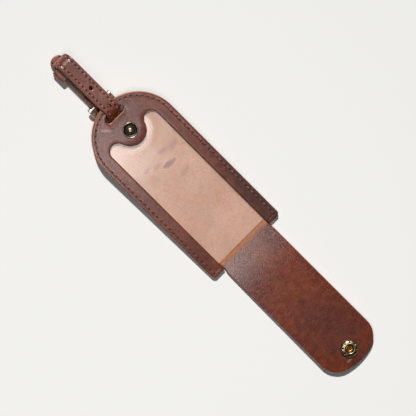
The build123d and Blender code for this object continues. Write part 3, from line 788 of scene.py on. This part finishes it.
def flapGrid(root, half, roll):
    # Columns run to the end's outline, a shallow bow b - sqrt(b^2 - x^2) that meets a corner's arc at bowX;
    # rows gather at the root and the end. Gives the grid and its distance from the nearest edge.
    bow, corner, end = flap["bow"], flap["corner"], flap["length"]
    cornerX = half - corner
    cornerUp = bow - math.sqrt((bow - corner) ** 2 - cornerX ** 2)
    bowX = cornerX * bow / (bow - corner)
    spread = np.linspace(0, 1, 17)[1:]
    right = half * np.concatenate([spread[:-1] * 0.86, 1 - 0.10 * (1 - np.linspace(0, 1, 10)) ** 1.6])
    x = np.concatenate([-right[::-1], [0], right])
    ax = np.abs(x)
    drop = np.where(ax < bowX, bow - np.sqrt(bow ** 2 - np.minimum(ax, bowX) ** 2),
                    cornerUp - np.sqrt(np.maximum(corner ** 2 - (ax - cornerX) ** 2, 0)))
    fromRoot = np.concatenate([np.linspace(0, 7, 24), np.linspace(8.5, 78, 40)])
    start = (root + fromRoot)[:, None] + 0 * x[None, :]
    fromEnd = np.concatenate([[6, 4, 2.6, 1.6, 1.0], roll * rollSteps[::-1]])
    ends = (end - drop)[None, :] - fromEnd[:, None]
    stretch = np.linspace(0, 1, 6)[1:-1][:, None]
    between = start[-1:] * (1 - stretch) + ends[:1] * stretch
    s = np.concatenate([start, between, ends])
    ax = ax[None, :] + 0 * s
    fromCorner = corner - np.hypot(ax - cornerX, s - (end - cornerUp))
    fromBow = bow - np.hypot(ax, s - (end - bow))
    edge = np.where(s > end - bow, np.minimum(half - ax, fromBow), half - ax)
    edge = np.where((ax > bowX) & (s > end - cornerUp), fromCorner, edge)
    # the root is narrower, to pass between the legs: a smooth step 3 t^2 - 2 t^3
    narrow = np.clip((flap["narrowEnd"] - s) / flap["narrowRun"], 0, 1)
    narrow = narrow * narrow * (3 - 2 * narrow)
    x = x[None, :] * (1 - narrow * (1 - flap["rootWidth"] / flap["width"]))
    return np.stack([x, s], -1), np.maximum(edge, 0)


def makeFlapPly(name, root, low, high, node, underRoll, topRoll, skived):
    flat, edge = flapGrid(root, flap["width"] / 2, flap["roll"])
    along = flat[..., 1]
    top = high - rolled(edge, topRoll)
    bottom = low + rolled(edge, underRoll)
    if skived:
        # the ply thins slowly towards the fold, and quickly over its last few millimetres: 1 - (1 - t)^2
        slope = np.clip(flap["skiveLength"] - along, 0, flap["skiveLength"] - 2) / (flap["skiveLength"] - 2)
        top = top - flap["skiveDepth"] * slope ** 2
        thin = np.clip((along - root) / flap["lipLength"], 0, 1)
        lip = low + flap["lip"]
        top = lip + (top - lip) * (1 - (1 - thin) ** 2)
    built = SlabBuilder()
    wall = np.ones(len(flat), bool)
    # painted shade: the long side facing away from the light (-x) shows less of its raw orange edge than the
    # other
    edgeShade = 0.32 * np.clip(0.6 - flat[..., 0] / 16, 0, 1)
    built.add(flat, top, bottom, flapPoint, wall, wall, (0, len(flat) - 1), edge + edgeShade)
    piece = built.make(name, None, [node], flapLeather)
    start, end = (tagPoint(0.0, np.array(v), 0.0) * 0.001 for v in (flap["blendFrom"], flap["blendTo"]))
    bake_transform(piece)


makeFlapPly("flap_outer_ply", flap["outerRoot"], 0.0, flap["outer"], "flap_outer", flap["roll"],
            flap["innerRoll"], False)
makeFlapPly("flap_inner_ply", flap["liningRoot"], flap["outer"], flapThickness, "flap_lining",
            flap["innerRoll"], flap["roll"], True)
print("flap made")


sheet = {"halfWidth": 22.4, "from": 4.5, "to": 106, "thick": 0.18, "lift": 0.16, "wave": 0.10,
         "ripple": 0.015, "ridge": 0.07, "ridgeRadius": 13.5, "ridgeWidth": 3.0}


def makeSheet():
    # Clear sheet with a slow wave, sin(v / 11 + 1) cos(pi x / 40), and a small ripple on it
    x = np.linspace(-sheet["halfWidth"], sheet["halfWidth"], 72)
    v = np.linspace(sheet["from"], sheet["to"], 150)
    gx, gv = np.meshgrid(x, v)
    flatEnd = body["lobeUp"] + 8
    wave = sheet["wave"] * np.sin(gv / 11 + 1) * np.cos(gx * math.pi / 40)
    wave = wave * np.clip((flatEnd - gv) / 12, 0, 1)
    wave = wave + sheet["ripple"] * np.sin(gv / 3.1 + gx / 6) * np.clip(1 - (gx / 20) ** 2, 0, 1)
    # a soft ridge just below the tongue, where the sheet comes out from under it: exp(-((d - r) / width)^2)
    fromStud = np.hypot(gx, gv - body["studUp"])
    ridge = np.exp(-((fromStud - sheet["ridgeRadius"]) / sheet["ridgeWidth"]) ** 2) * (gv < body["studUp"])
    wave = wave + sheet["ridge"] * ridge
    low = body["leather"] + sheet["lift"] + np.maximum(wave, -0.12)
    built = SlabBuilder()
    wall = np.ones(len(v), bool)
    built.add(np.stack([gx, gv], -1), low + sheet["thick"], low, tagPoint, wall, wall, (0, len(v) - 1),
              np.full(gx.shape, farAway))
    built.make("clear_window", "tag", ["window_sheet"], clearVinyl)


makeSheet()
print("window sheet made")


def stitchShape(length, radius, lay):
    # One stitch: two strands twisted together that dive at both ends; rings along, points round
    t = np.linspace(0, 1, 11)[:, None]
    turnRound = np.linspace(0, 2 * math.pi, 9)[:-1][None, :]
    girth = radius * np.sqrt(np.maximum(1 - (2 * t - 1) ** 6, 0.02))
    lobes = girth * (1 + 0.22 * np.cos(2 * (turnRound + t * 2 * math.pi * 1.1)))
    along = (t - 0.5) * length + 0 * turnRound
    across = lobes * np.cos(turnRound) + lay * (t - 0.5)
    # it stands 0.75 r over the leather and dives 1.5 r at its ends, as the fourth power of the way there
    height = lobes * np.sin(turnRound) + radius * 0.75 - 1.5 * radius * np.abs(2 * t - 1) ** 4
    return np.stack([along, across, height], -1)


def stitchRow(places, shape, surface):
    # Copies of one stitch at (x, v, angle), each lifted by surface(x, v, height)
    rings, points = shape.shape[:2]
    local = shape.reshape(-1, 3)
    verts, faces = [], []
    for number, (x, v, angle) in enumerate(places):
        c, s = math.cos(angle), math.sin(angle)
        px = x + local[:, 0] * c - local[:, 1] * s
        pv = v + local[:, 0] * s + local[:, 1] * c
        verts.append(surface(px, pv, local[:, 2]))
        faces += tubeFaces(rings, points, number * len(local))
    return np.concatenate(verts), faces


def makeThread(name, rides, node, material, rows):
    # One piece of several rows of stitches, each row given as (places, stitch, surface)
    verts, faces, count = [], [], 0
    for places, shape, surface in rows:
        points, rowFaces = stitchRow(places, shape, surface)
        faces += [tuple(k + count for k in face) for face in rowFaces]
        verts.append(points)
        count += len(points)
    makePiece(name, np.concatenate(verts), faces, rides, [node], material, weld=0.001, sharp=80)


legs = [(sign * seamX, seamFoot + (k + 0.5) * legPitch, math.pi / 2)
        for sign in (-1, 1) for k in range(legCount)]
archAngles = [math.pi * (k + 0.5) / archCount for k in range(archCount)]
arch = [(seamX * math.cos(a), archV + seamX * math.sin(a), a + math.pi / 2) for a in archAngles]
feet = [(sign * (seamX - 0.3 - 2.15 * (k + 0.5)), seamFoot, 0) for sign in (-1, 1) for k in range(2)]
# stitches are given as length, radius and lay
tagThread = {"long": stitchShape(2.5, 0.34, 0.28), "short": stitchShape(1.7, 0.34, 0.1),
             "frontLevel": frontTop - 0.42, "backLevel": 0.3}


def onFront(x, v, height):
    return tagPoint(x, v, tagThread["frontLevel"] + height)


def onBack(x, v, height):
    return tagPoint(x, v, tagThread["backLevel"] - height)


for name, node, surface in (("front_seam_thread", "stitching_front", onFront),
                            ("back_seam_thread", "stitching_back", onBack)):
    makeThread(name, "tag", node, waxedThread,
               [(legs + arch, tagThread["long"], surface), (feet, tagThread["short"], surface)])
print("tag seams made")


def turned(profile, sides=64):
    # Surface of revolution about the third axis: points (r cos a, r sin a, h) for each profile point
    profile = np.asarray(profile, float)
    angle = np.linspace(0, 2 * math.pi, sides + 1)[:-1][None, :]
    r, h = profile[:, :1], profile[:, 1:2]
    return np.stack([r * np.cos(angle), r * np.sin(angle), h + 0 * angle], -1)


def smoothProfile(points):
    # Rounds a profile's corners by cutting each run at a quarter and at three quarters, twice
    points = np.asarray(points, float)
    for _ in range(2):
        cut = np.stack([0.75 * points[:-1] + 0.25 * points[1:], 0.25 * points[:-1] + 0.75 * points[1:]], 1)
        points = np.concatenate([points[:1], cut.reshape(-1, points.shape[1]), points[-1:]])
    return points


def makeTurned(name, profile, place, rides, replaced, material, dimples=None, sides=64):
    # profile rows are (radius, height, wear); dimples are pits exp(-(d / size)^4) spaced round a circle
    rows = smoothProfile(profile)
    grid = turned(rows[:, :2], sides)
    worn = np.repeat(rows[:, 2], sides)
    if dimples:
        angle = np.arctan2(grid[..., 1], grid[..., 0])
        apart = 2 * math.pi / dimples["count"]
        near = (np.mod(angle / apart + 0.5, 1) - 0.5) * apart * dimples["radius"]
        away = np.hypot(near, np.hypot(grid[..., 0], grid[..., 1]) - dimples["radius"]) / dimples["size"]
        pit = np.exp(-away ** 4) * (grid[..., 2] > dimples["above"])
        grid[..., 2] -= dimples["depth"] * pit
        worn = worn - dimples["wear"] * pit.ravel()
    verts = place(grid[..., 0], grid[..., 1], grid[..., 2]).reshape(-1, 3)
    faces = gridFaces(len(rows), sides, 0, closedColumns=True)
    makePiece(name, verts, faces, rides, replaced, material, edge=worn, weld=0.002, sharp=45)


def onStud(x, y, h):
    return tagPoint(x, body["studUp"] + y, frontTop + h)


def onSocket(x, y, h):
    return flapPoint(x, flap["reach"] - y, flapThickness + h)


# profiles of (radius, height, wear)
# stud: domed middle, a dark trough, a rubbed outer bead, and the seat for its rivet
stud = [(0, 2.7, 0.7), (1.1, 2.6, 0.68), (1.8, 2.2, 0.62), (2.15, 1.7, 0.55), (2.0, 0.9, 0.35),
        (2.1, 0.35, 0.05), (2.8, 0.2, 0), (3.4, 0.3, 0), (4.1, 0.62, 0.1), (4.5, 0.86, 0.9), (4.8, 0.6, 0.6),
        (4.85, 0.15, 0.3), (4.7, 0.0, 0.2), (3, 0.0, 0), (1.47, 0.0, 0), (1.47, 1.6, 0), (0, 1.6, 0)]
rivet = [(0, -2.0, 0.6), (3.5, -2.0, 0.6), (3.88, -1.9, 0.6), (3.88, -1.7, 0.6), (3.5, -1.62, 0.6),
         (1.43, -1.6, 0.6), (1.43, 1.5, 0.6), (0, 1.5, 0.6)]
makeTurned("stud_cap", stud, onStud, "tag", ["snap_stud"], antiqueBrass)
makeTurned("stud_rivet", rivet, onStud, "tag", ["stud_post"], antiqueBrass)

# socket: a dished ring with dimples round it and a groove inside for the spring
socket = [(1.47, 0.0, 0), (4.6, 0.0, 0.2), (5.45, 0.05, 0.3), (5.55, 0.6, 0.35), (5.45, 1.3, 0.45),
          (5.1, 1.95, 0.65), (4.6, 2.3, 0.7), (4.2, 2.42, 0.65), (3.9, 2.48, 0.6), (3.6, 2.5, 0.6),
          (3.3, 2.55, 0.6), (3.0, 2.6, 0.8), (2.7, 2.5, 0.6), (2.6, 2.2, 0.2), (2.6, 2.0, 0), (3.3, 2.0, 0),
          (3.3, 1.2, 0), (2.6, 1.2, 0), (2.6, 0.35, 0), (1.6, 0.35, 0), (1.47, 0.35, 0), (1.47, 0.0, 0)]
socketDimples = {"count": 8, "radius": 4.0, "size": 0.5, "above": 1.9, "depth": 0.3, "wear": 1.6}
makeTurned("socket_ring", socket, onSocket, "flap", ["snap_socket"], antiqueBrass,
           socketDimples, 96)

# cap: a low dome under the flap, down to the floor, with its tube rolled over inside the socket
under = -flapThickness
capLow = under - footZ - flap["reach"] * math.sin(flapLean)
cap = [(0, capLow, 0.25), (2.2, capLow + 0.1, 0.25), (4.4, capLow + 0.5, 0.25), (5.8, capLow + 1.1, 0.3),
       (6.3, under - 0.5, 0.45), (6.2, under, 0.1), (1.45, under, 0), (1.45, 0.3, 0), (1.9, 0.45, 0.5),
       (2.1, 0.55, 1), (2.0, 0.7, 1), (1.6, 0.72, 1), (1.2, 0.6, 0.9), (1.0, 0.2, 0.7), (0.9, -0.6, 0.5),
       (0, -0.7, 0.5)]
makeTurned("under_cap", cap, onSocket, "flap", ["snap_cap"], goldBrass)

spring = {"radius": 2.85, "wire": 0.3, "height": 1.6, "from": 20, "to": 340}


def makeSpring():
    # Split ring: a round wire carried round a circle, with a gap of 40 degrees
    along = np.radians(np.linspace(spring["from"], spring["to"], 60))[:, None]
    around = np.linspace(0, 2 * math.pi, 13)[:-1][None, :]
    r = spring["radius"] + spring["wire"] * np.cos(around)
    h = spring["height"] + spring["wire"] * np.sin(around) + 0 * along
    verts = onSocket(r * np.cos(along), r * np.sin(along), h).reshape(-1, 3)
    makePiece("spring_ring", verts, tubeFaces(60, 12), "flap", ["socket_spring"],
              antiqueBrass, edge=np.full(len(verts), 0.8), weld=0.001)


makeSpring()
print("snap made")


def roundedPath(points, radii, step=0.45):
    # Straight runs joined by tangent arcs: each corner is cut back by r tan(turn / 2)
    points = np.asarray(points, float)
    out = [points[0]]
    for before, corner, after, radius in zip(points[:-2], points[1:-1], points[2:], radii):
        one = (before - corner) / np.linalg.norm(before - corner)
        two = (after - corner) / np.linalg.norm(after - corner)
        opening = math.acos(np.clip(one @ two, -1, 1))
        cutBack = radius / math.tan(opening / 2)
        centre = corner + (one + two) / np.linalg.norm(one + two) * radius / math.sin(opening / 2)
        begin, finish = corner + one * cutBack, corner + two * cutBack
        a0 = math.atan2(*(begin - centre)[::-1])
        a1 = math.atan2(*(finish - centre)[::-1])
        swing = (a1 - a0 + math.pi) % (2 * math.pi) - math.pi
        angles = a0 + swing * np.linspace(0, 1, max(5, int(abs(swing) * radius / step) + 4))
        out += list(centre + radius * np.stack([np.cos(angles), np.sin(angles)], -1))
    out.append(points[-1])
    path = np.array(out)
    run = np.concatenate([[0], np.cumsum(np.linalg.norm(np.diff(path, axis=0), axis=1))])
    even = np.linspace(0, run[-1], int(run[-1] / step) + 1)
    return np.stack([np.interp(even, run, path[:, k]) for k in range(2)], -1), even


class Route:
    # A side view (y from the fold, z) that a flat strap follows; its skew leans the loop to +X with height
    def __init__(self, points, radii):
        self.path, self.run = roundedPath(points, radii)
        tangent = tangents(self.path, self.run)
        kernel = (0.25, 0.5, 0.25)
        for _ in range(2):
            padded = np.concatenate([tangent[:1], tangent, tangent[-1:]])
            tangent = sum(kernel[k] * padded[k:k + len(tangent)] for k in range(3))
        self.tangent = tangent / np.linalg.norm(tangent, axis=1)[:, None]
        self.length = self.run[-1]

    def place(self, a, b, h):
        # point + a across + h on the right-hand side of the direction of travel
        y, z = beside(self.path, self.run, self.tangent, b, h)
        return np.stack([strap["shift"] + strap["skew"] * z + a, foldY + y, z], -1)

    def at(self, y, z):
        return self.run[np.argmin(np.hypot(self.path[:, 0] - y, self.path[:, 1] - z))]


lowerPoints = [(strap["loopEnd"], strap["mainRun"]), (strap["loopEnd"], strap["upperRun"]),
               (strap["slotDrop"], strap["upperRun"]), (strap["slotDrop"], strap["webRun"]),
               (strap["rampStart"], strap["webRun"]), (strap["rampEnd"], strap["tipRun"]),
               (strap["tip"], strap["tipRun"])]
lowerRadii = [2, 5.2, 5.0, 2.3, 5, 5]
heelY, heelZ = heelAxis[1] - foldY, heelAxis[2]
wrap = {"back": 1.18, "over": 1.5, "below": 1.14, "radius": 1.08, "slit": 4.2}
wrapPoints = [(strap["wrapEnd"] - 0.3, strap["mainRun"] + 0.1), (heelY - wrap["back"], heelZ + wrap["over"]),
              (heelY - wrap["back"], heelZ - wrap["below"])]
outerRoute = Route(wrapPoints + lowerPoints, [wrap["radius"]] * 2 + lowerRadii)
liningRoute = Route([(strap["wrapEnd"], strap["mainRun"])] + lowerPoints, lowerRadii)


def makeStrapPly(name, route, side, node, openings):
    # Two halves side by side that part at each opening (centre, half length, half width) along the route
    half = strap["width"] / 2
    roll = strap["roll"]
    tipStart = route.length - half
    b = np.linspace(0, tipStart - 1.2, int(route.length / 0.62))
    for centre, reach, width in openings:
        b = np.concatenate([b, centre + reach * np.cos(np.radians(np.arange(0, 181, 12)))])
    b = np.unique(np.round(b, 3))
    offsets = np.concatenate([roll * rollSteps, [0.9, 1.35, 1.6, 1.87, 2.15, 2.4, 2.9]])
    built = SlabBuilder()
    for sign in (-1, 1):
        gap = np.zeros(len(b))
        for centre, reach, width in openings:
            # a stadium's half width at b: sqrt(w^2 - d^2), with d measured past its straight part
            over = np.clip(np.abs(b - centre) - max(reach - width, 0), 0, None)
            halfGap = np.sqrt(np.maximum(width ** 2 - over ** 2, 0))
            gap = np.maximum(gap, halfGap * (np.abs(b - centre) < reach))
        inner = gap[:, None] + (half - 2.9 - gap)[:, None] * np.linspace(0, 1, 5)[None, :-1]
        a = np.concatenate([inner, half - offsets[::-1][None, :] + 0 * inner[:, :1]], 1)
        bb = b[:, None] + 0 * a
        # beyond the straight part the columns stretch to the rounded tip
        tipRows = np.array([0.3, 0.55, 0.75, 0.88, 0.95, 0.985, 1.0])
        column = a[-1]
        reachEnd = tipStart + np.sqrt(np.maximum(half ** 2 - column ** 2, 0))
        tip = b[-1] + (reachEnd - b[-1])[None, :] * tipRows[:, None]
        a = np.concatenate([a, column[None, :] + 0 * tip])
        bb = np.concatenate([bb, tip])
        openGap = np.concatenate([gap, np.zeros(len(tipRows))])
        edge = half - np.where(bb > tipStart, np.hypot(a, bb - tipStart), a)
        edge = np.minimum(edge, bb + 0.05)
        for centre, reach, width in openings:
            away = np.hypot(np.maximum(np.abs(bb - centre) - max(reach - width, 0), 0), a) - width
            edge = np.minimum(edge, np.maximum(away, 0))
        edge = np.maximum(edge, 0)
        groove = 0.12 * np.exp(-((np.abs(a) - strap["seam"]) / 0.3) ** 2)
        top = strap["ply"] - rolled(edge, roll) - groove
        uv = np.stack([bb / strap["pitch"], a - strap["seam"]], -1)
        built.add(np.stack([sign * a, bb], -1), side * top, side * rolled(edge, 0.1), route.place,
                  openGap > 1e-6, np.ones(len(bb), bool), (0, len(bb) - 1), edge, uv)
    built.make(name, "strap", [node], strapSewnLeather)


def strapOpenings(route):
    # two round holes in the upper run, and the oval for the prong in the lower one
    holes = [strap["firstHole"] + k * strap["holePitch"] for k in range(2)]
    upper = [(route.at(y, strap["upperRun"]), strap["hole"], strap["hole"]) for y in holes]
    return upper + [(route.at(strap["rampEnd"] - 1.9, 3.6), 3.0, strap["slit"])]


strapSewnLeather = leatherMaterial("strapSewnLeather", {**strapLook, "seam": strap["pitch"]})
wrapSlit = [(outerRoute.at(heelY - 1.15, heelZ), wrap["slit"], strap["slit"])]
makeStrapPly("strap_outer_ply", outerRoute, 1, "strap_outer", strapOpenings(outerRoute) + wrapSlit)
makeStrapPly("strap_inner_ply", liningRoute, -1, "strap_lining", strapOpenings(liningRoute))


strapThreadSettings = {"length": 2.0, "radius": 0.28, "lay": 0.35, "sunk": 0.25, "tipBare": 4.4}


def strapRow(route, side, start):
    # Both stitch lines on a ply's outer face; none under the slot's web, where the buckle lies against it
    pitch = strap["pitch"]
    first = math.ceil((start + 0.5) / pitch)
    last = int((route.length - strapThreadSettings["tipBare"]) / pitch)
    bareStart, bareEnd = route.at(strap["slotDrop"], 7.5), route.at(124.0, strap["tipRun"])
    along = [(k + 0.5) * pitch for k in range(first, last)]
    places = [(sign * strap["seam"], b, math.pi / 2)
              for sign in (-1, 1) for b in along if b < bareStart or b > bareEnd]

    def onPly(a, b, height):
        return route.place(a, b, side * (strap["ply"] - strapThreadSettings["sunk"] + height))
    stitch = stitchShape(*(strapThreadSettings[key] for key in ("length", "radius", "lay")))
    return places, stitch, onPly


wrapEndRun = outerRoute.at(strap["wrapEnd"], strap["mainRun"])
makeThread("strap_thread", "strap", "strap_stitching", strapThread,
           [strapRow(outerRoute, 1, wrapEndRun), strapRow(liningRoute, -1, 0.0)])
print("strap made")

keeper = {"start": 147.8, "length": 8.2, "leather": 1.3, "width": 14.2, "height": 7.35, "centre": -1.8,
          "roll": 0.35, "creaseIn": 1.0, "threadHeight": 0.55, "threadPitch": 2.4}


def makeKeeper():
    # A band of leather bent round a rounded rectangle, with its two ends butted underneath
    halfW = keeper["width"] / 2 - keeper["leather"]
    low, high = keeper["leather"], keeper["height"] - keeper["leather"]
    ring = [(0.04, low), (halfW, low), (halfW, high), (-halfW, high), (-halfW, low), (-0.04, low)]
    path, run = roundedPath(ring, [0.5] * 4, 0.35)
    tangent = tangents(path, run)
    half = keeper["length"] / 2
    middle = foldY + keeper["start"] + half

    def place(a, b, h):
        x, z = beside(path, run, tangent, b, h)
        return np.stack([keeper["centre"] + x, middle + a, z], -1)
    steps = keeper["roll"] * rollSteps
    a = np.concatenate([-half + steps, np.linspace(-half + 1.2, half - 1.2, 8), half - steps[::-1]])
    aa, bb = np.meshgrid(a, run)
    edge = np.minimum(half - np.abs(aa), np.minimum(bb, run[-1] - bb) + 0.2)
    # a pressed line inside each edge: 0.06 exp(-(d / 0.25)^2)
    crease = 0.06 * np.exp(-((half - keeper["creaseIn"] - np.abs(aa)) / 0.25) ** 2)
    top = keeper["leather"] - rolled(edge, keeper["roll"]) - crease
    built = SlabBuilder()
    wall = np.ones(len(run), bool)
    built.add(np.stack([aa, bb], -1), top, rolled(edge, 0.1), place, wall, wall, (0, len(run) - 1), edge)
    built.make("keeper_band", "keeper", ["keeper_loop"], strapLeather)

    def under(px, pv, height):
        return np.stack([keeper["centre"] + pv, middle + px, keeper["threadHeight"] - height], -1)
    places = [(k * keeper["threadPitch"], 0.0, math.pi / 2) for k in (-1, 0, 1)]
    makeThread("keeper_thread", "keeper", "keeper_stitch", waxedThread,
               [(places, stitchShape(2.2, 0.26, 0.1), under)])


makeKeeper()
print("keeper made")

buckle = {"width": 17.8, "bar": 2.4, "thick": 1.6, "reach": 10.4, "lean": 19.5, "corner": 2.4,
          "square": 0.55, "pin": 1.0, "bevel": 0.25}
# eyes round the heel bar: (radius, place along the bar), closed
frameEye = [(1.03, -1.2), (1.5, -1.2), (1.8, -1.0), (1.8, 1.0), (1.5, 1.2), (1.03, 1.2), (1.03, -1.2)]
prongEye = [(1.16, -0.8), (1.7, -0.8), (1.93, -0.6), (1.93, 0.6), (1.7, 0.8), (1.16, 0.8), (1.16, -0.8)]


def bucklePoint(x, q, h):
    # q towards the heel bar's side, h off the frame's middle
    tiltB = math.radians(buckle["lean"])
    return onHeel(x, q * math.cos(tiltB) - h * math.sin(tiltB), q * math.sin(tiltB) + h * math.cos(tiltB))


def onHeel(x, y, z):
    # Points about the heel bar's axis
    return np.stack([heelAxis[0] + x + 0 * y, heelAxis[1] + y, heelAxis[2] + z], -1)


def roundSquare(width, height, power, points):
    # A section between a circle and a square: half width sign(c) |c|^power, and the same with the sine
    angle = np.linspace(0, 2 * math.pi, points + 1)[:-1]
    c, s = np.cos(angle), np.sin(angle)
    return width / 2 * np.sign(c) * np.abs(c) ** power, height / 2 * np.sign(s) * np.abs(s) ** power


def sweep(path, run, inPlane, across, taper=1.0):
    # A section carried along a flat path: the two coordinates in its plane, and the one across it
    right = inPlane[None, :] * taper
    p, q = beside(path, run, tangents(path, run), run[:, None], right)
    return p, q, across[None, :] * taper + 0 * p


def heelRing(profile, sides, centre=0.0):
    # A turned ring on the heel bar's axis, with its points as a flat list
    ring = turned(profile, sides)
    return onHeel(ring[..., 2] + centre, ring[..., 0], ring[..., 1]).reshape(-1, 3)


def makeBuckleFrame():
    # A rounded bar carried round three sides, and an eye on each end for the heel bar
    halfX = (buckle["width"] - buckle["bar"]) / 2
    corners = [(-halfX, 0), (-halfX, -buckle["reach"]), (halfX, -buckle["reach"]), (halfX, 0)]
    path, run = roundedPath(corners, [buckle["corner"]] * 2, 0.4)
    section = roundSquare(buckle["bar"], buckle["thick"], buckle["square"], 24)
    verts = bucklePoint(*sweep(path, run, *section)).reshape(-1, 3)
    faces = tubeFaces(len(path), 24)
    profile = smoothProfile(frameEye)
    worn = [np.full(len(verts), 0.6)]
    for sign in (-1, 1):
        faces += [tuple(f) for f in gridFaces(len(profile), 32, len(verts), closedColumns=True)]
        eye = heelRing(profile, 32, sign * halfX)
        verts = np.concatenate([verts, eye])
        worn.append(np.full(len(eye), 0.75))
    makePiece("buckle_ring", verts, faces, "buckle", ["buckle_frame"], nickel,
              edge=np.concatenate(worn), weld=0.001, sharp=45)


def makeBar():
    # A plain pin with bevelled ends
    half, radius, bevel = buckle["width"] / 2 - 0.1, buckle["pin"], buckle["bevel"]
    profile = smoothProfile([(0, -half), (radius - 0.15, -half), (radius, -half + bevel),
                             (radius, half - bevel), (radius - 0.15, half), (0, half)])
    verts = heelRing(profile, 24)
    faces = gridFaces(len(profile), 24, 0, closedColumns=True)
    makePiece("heel_pin", verts, faces, "buckle", ["buckle_bar"], nickel,
              edge=np.full(len(verts), 0.7), weld=0.002)


prong = {"width": 1.6, "thick": 1.16, "square": 0.7, "taper": 1.2, "tipHeight": 0.66, "bendHeight": 3.0}


def makeProng():
    # Flat rounded tongue along its bent side view, narrowing to its tip, and its eye round the bar
    tipLow = prong["tipHeight"] - heelZ
    sideView = [(-1.2, -1.2), (-4.2, prong["bendHeight"] - heelZ), (-7.0, tipLow), (-11.5, tipLow)]
    path, run = roundedPath(sideView, [2, 2], 0.3)
    taper = np.clip((run[-1] - run) / prong["taper"], 0.02, 1)[:, None] ** 0.5
    wide, thick = roundSquare(prong["width"], prong["thick"], prong["square"], 16)
    y, z, x = sweep(path, run, thick, wide, taper)
    verts = onHeel(x, y, z).reshape(-1, 3)
    profile = smoothProfile(prongEye)
    faces = tubeFaces(len(path), 16)
    faces += [tuple(f) for f in gridFaces(len(profile), 32, len(verts), closedColumns=True)]
    verts = np.concatenate([verts, heelRing(profile, 32)])
    makePiece("prong_tongue", verts, faces, "prong", ["buckle_prong"], nickel,
              edge=np.full(len(verts), 0.7), weld=0.001)


makeBuckleFrame()
makeBar()
makeProng()
print("buckle made")
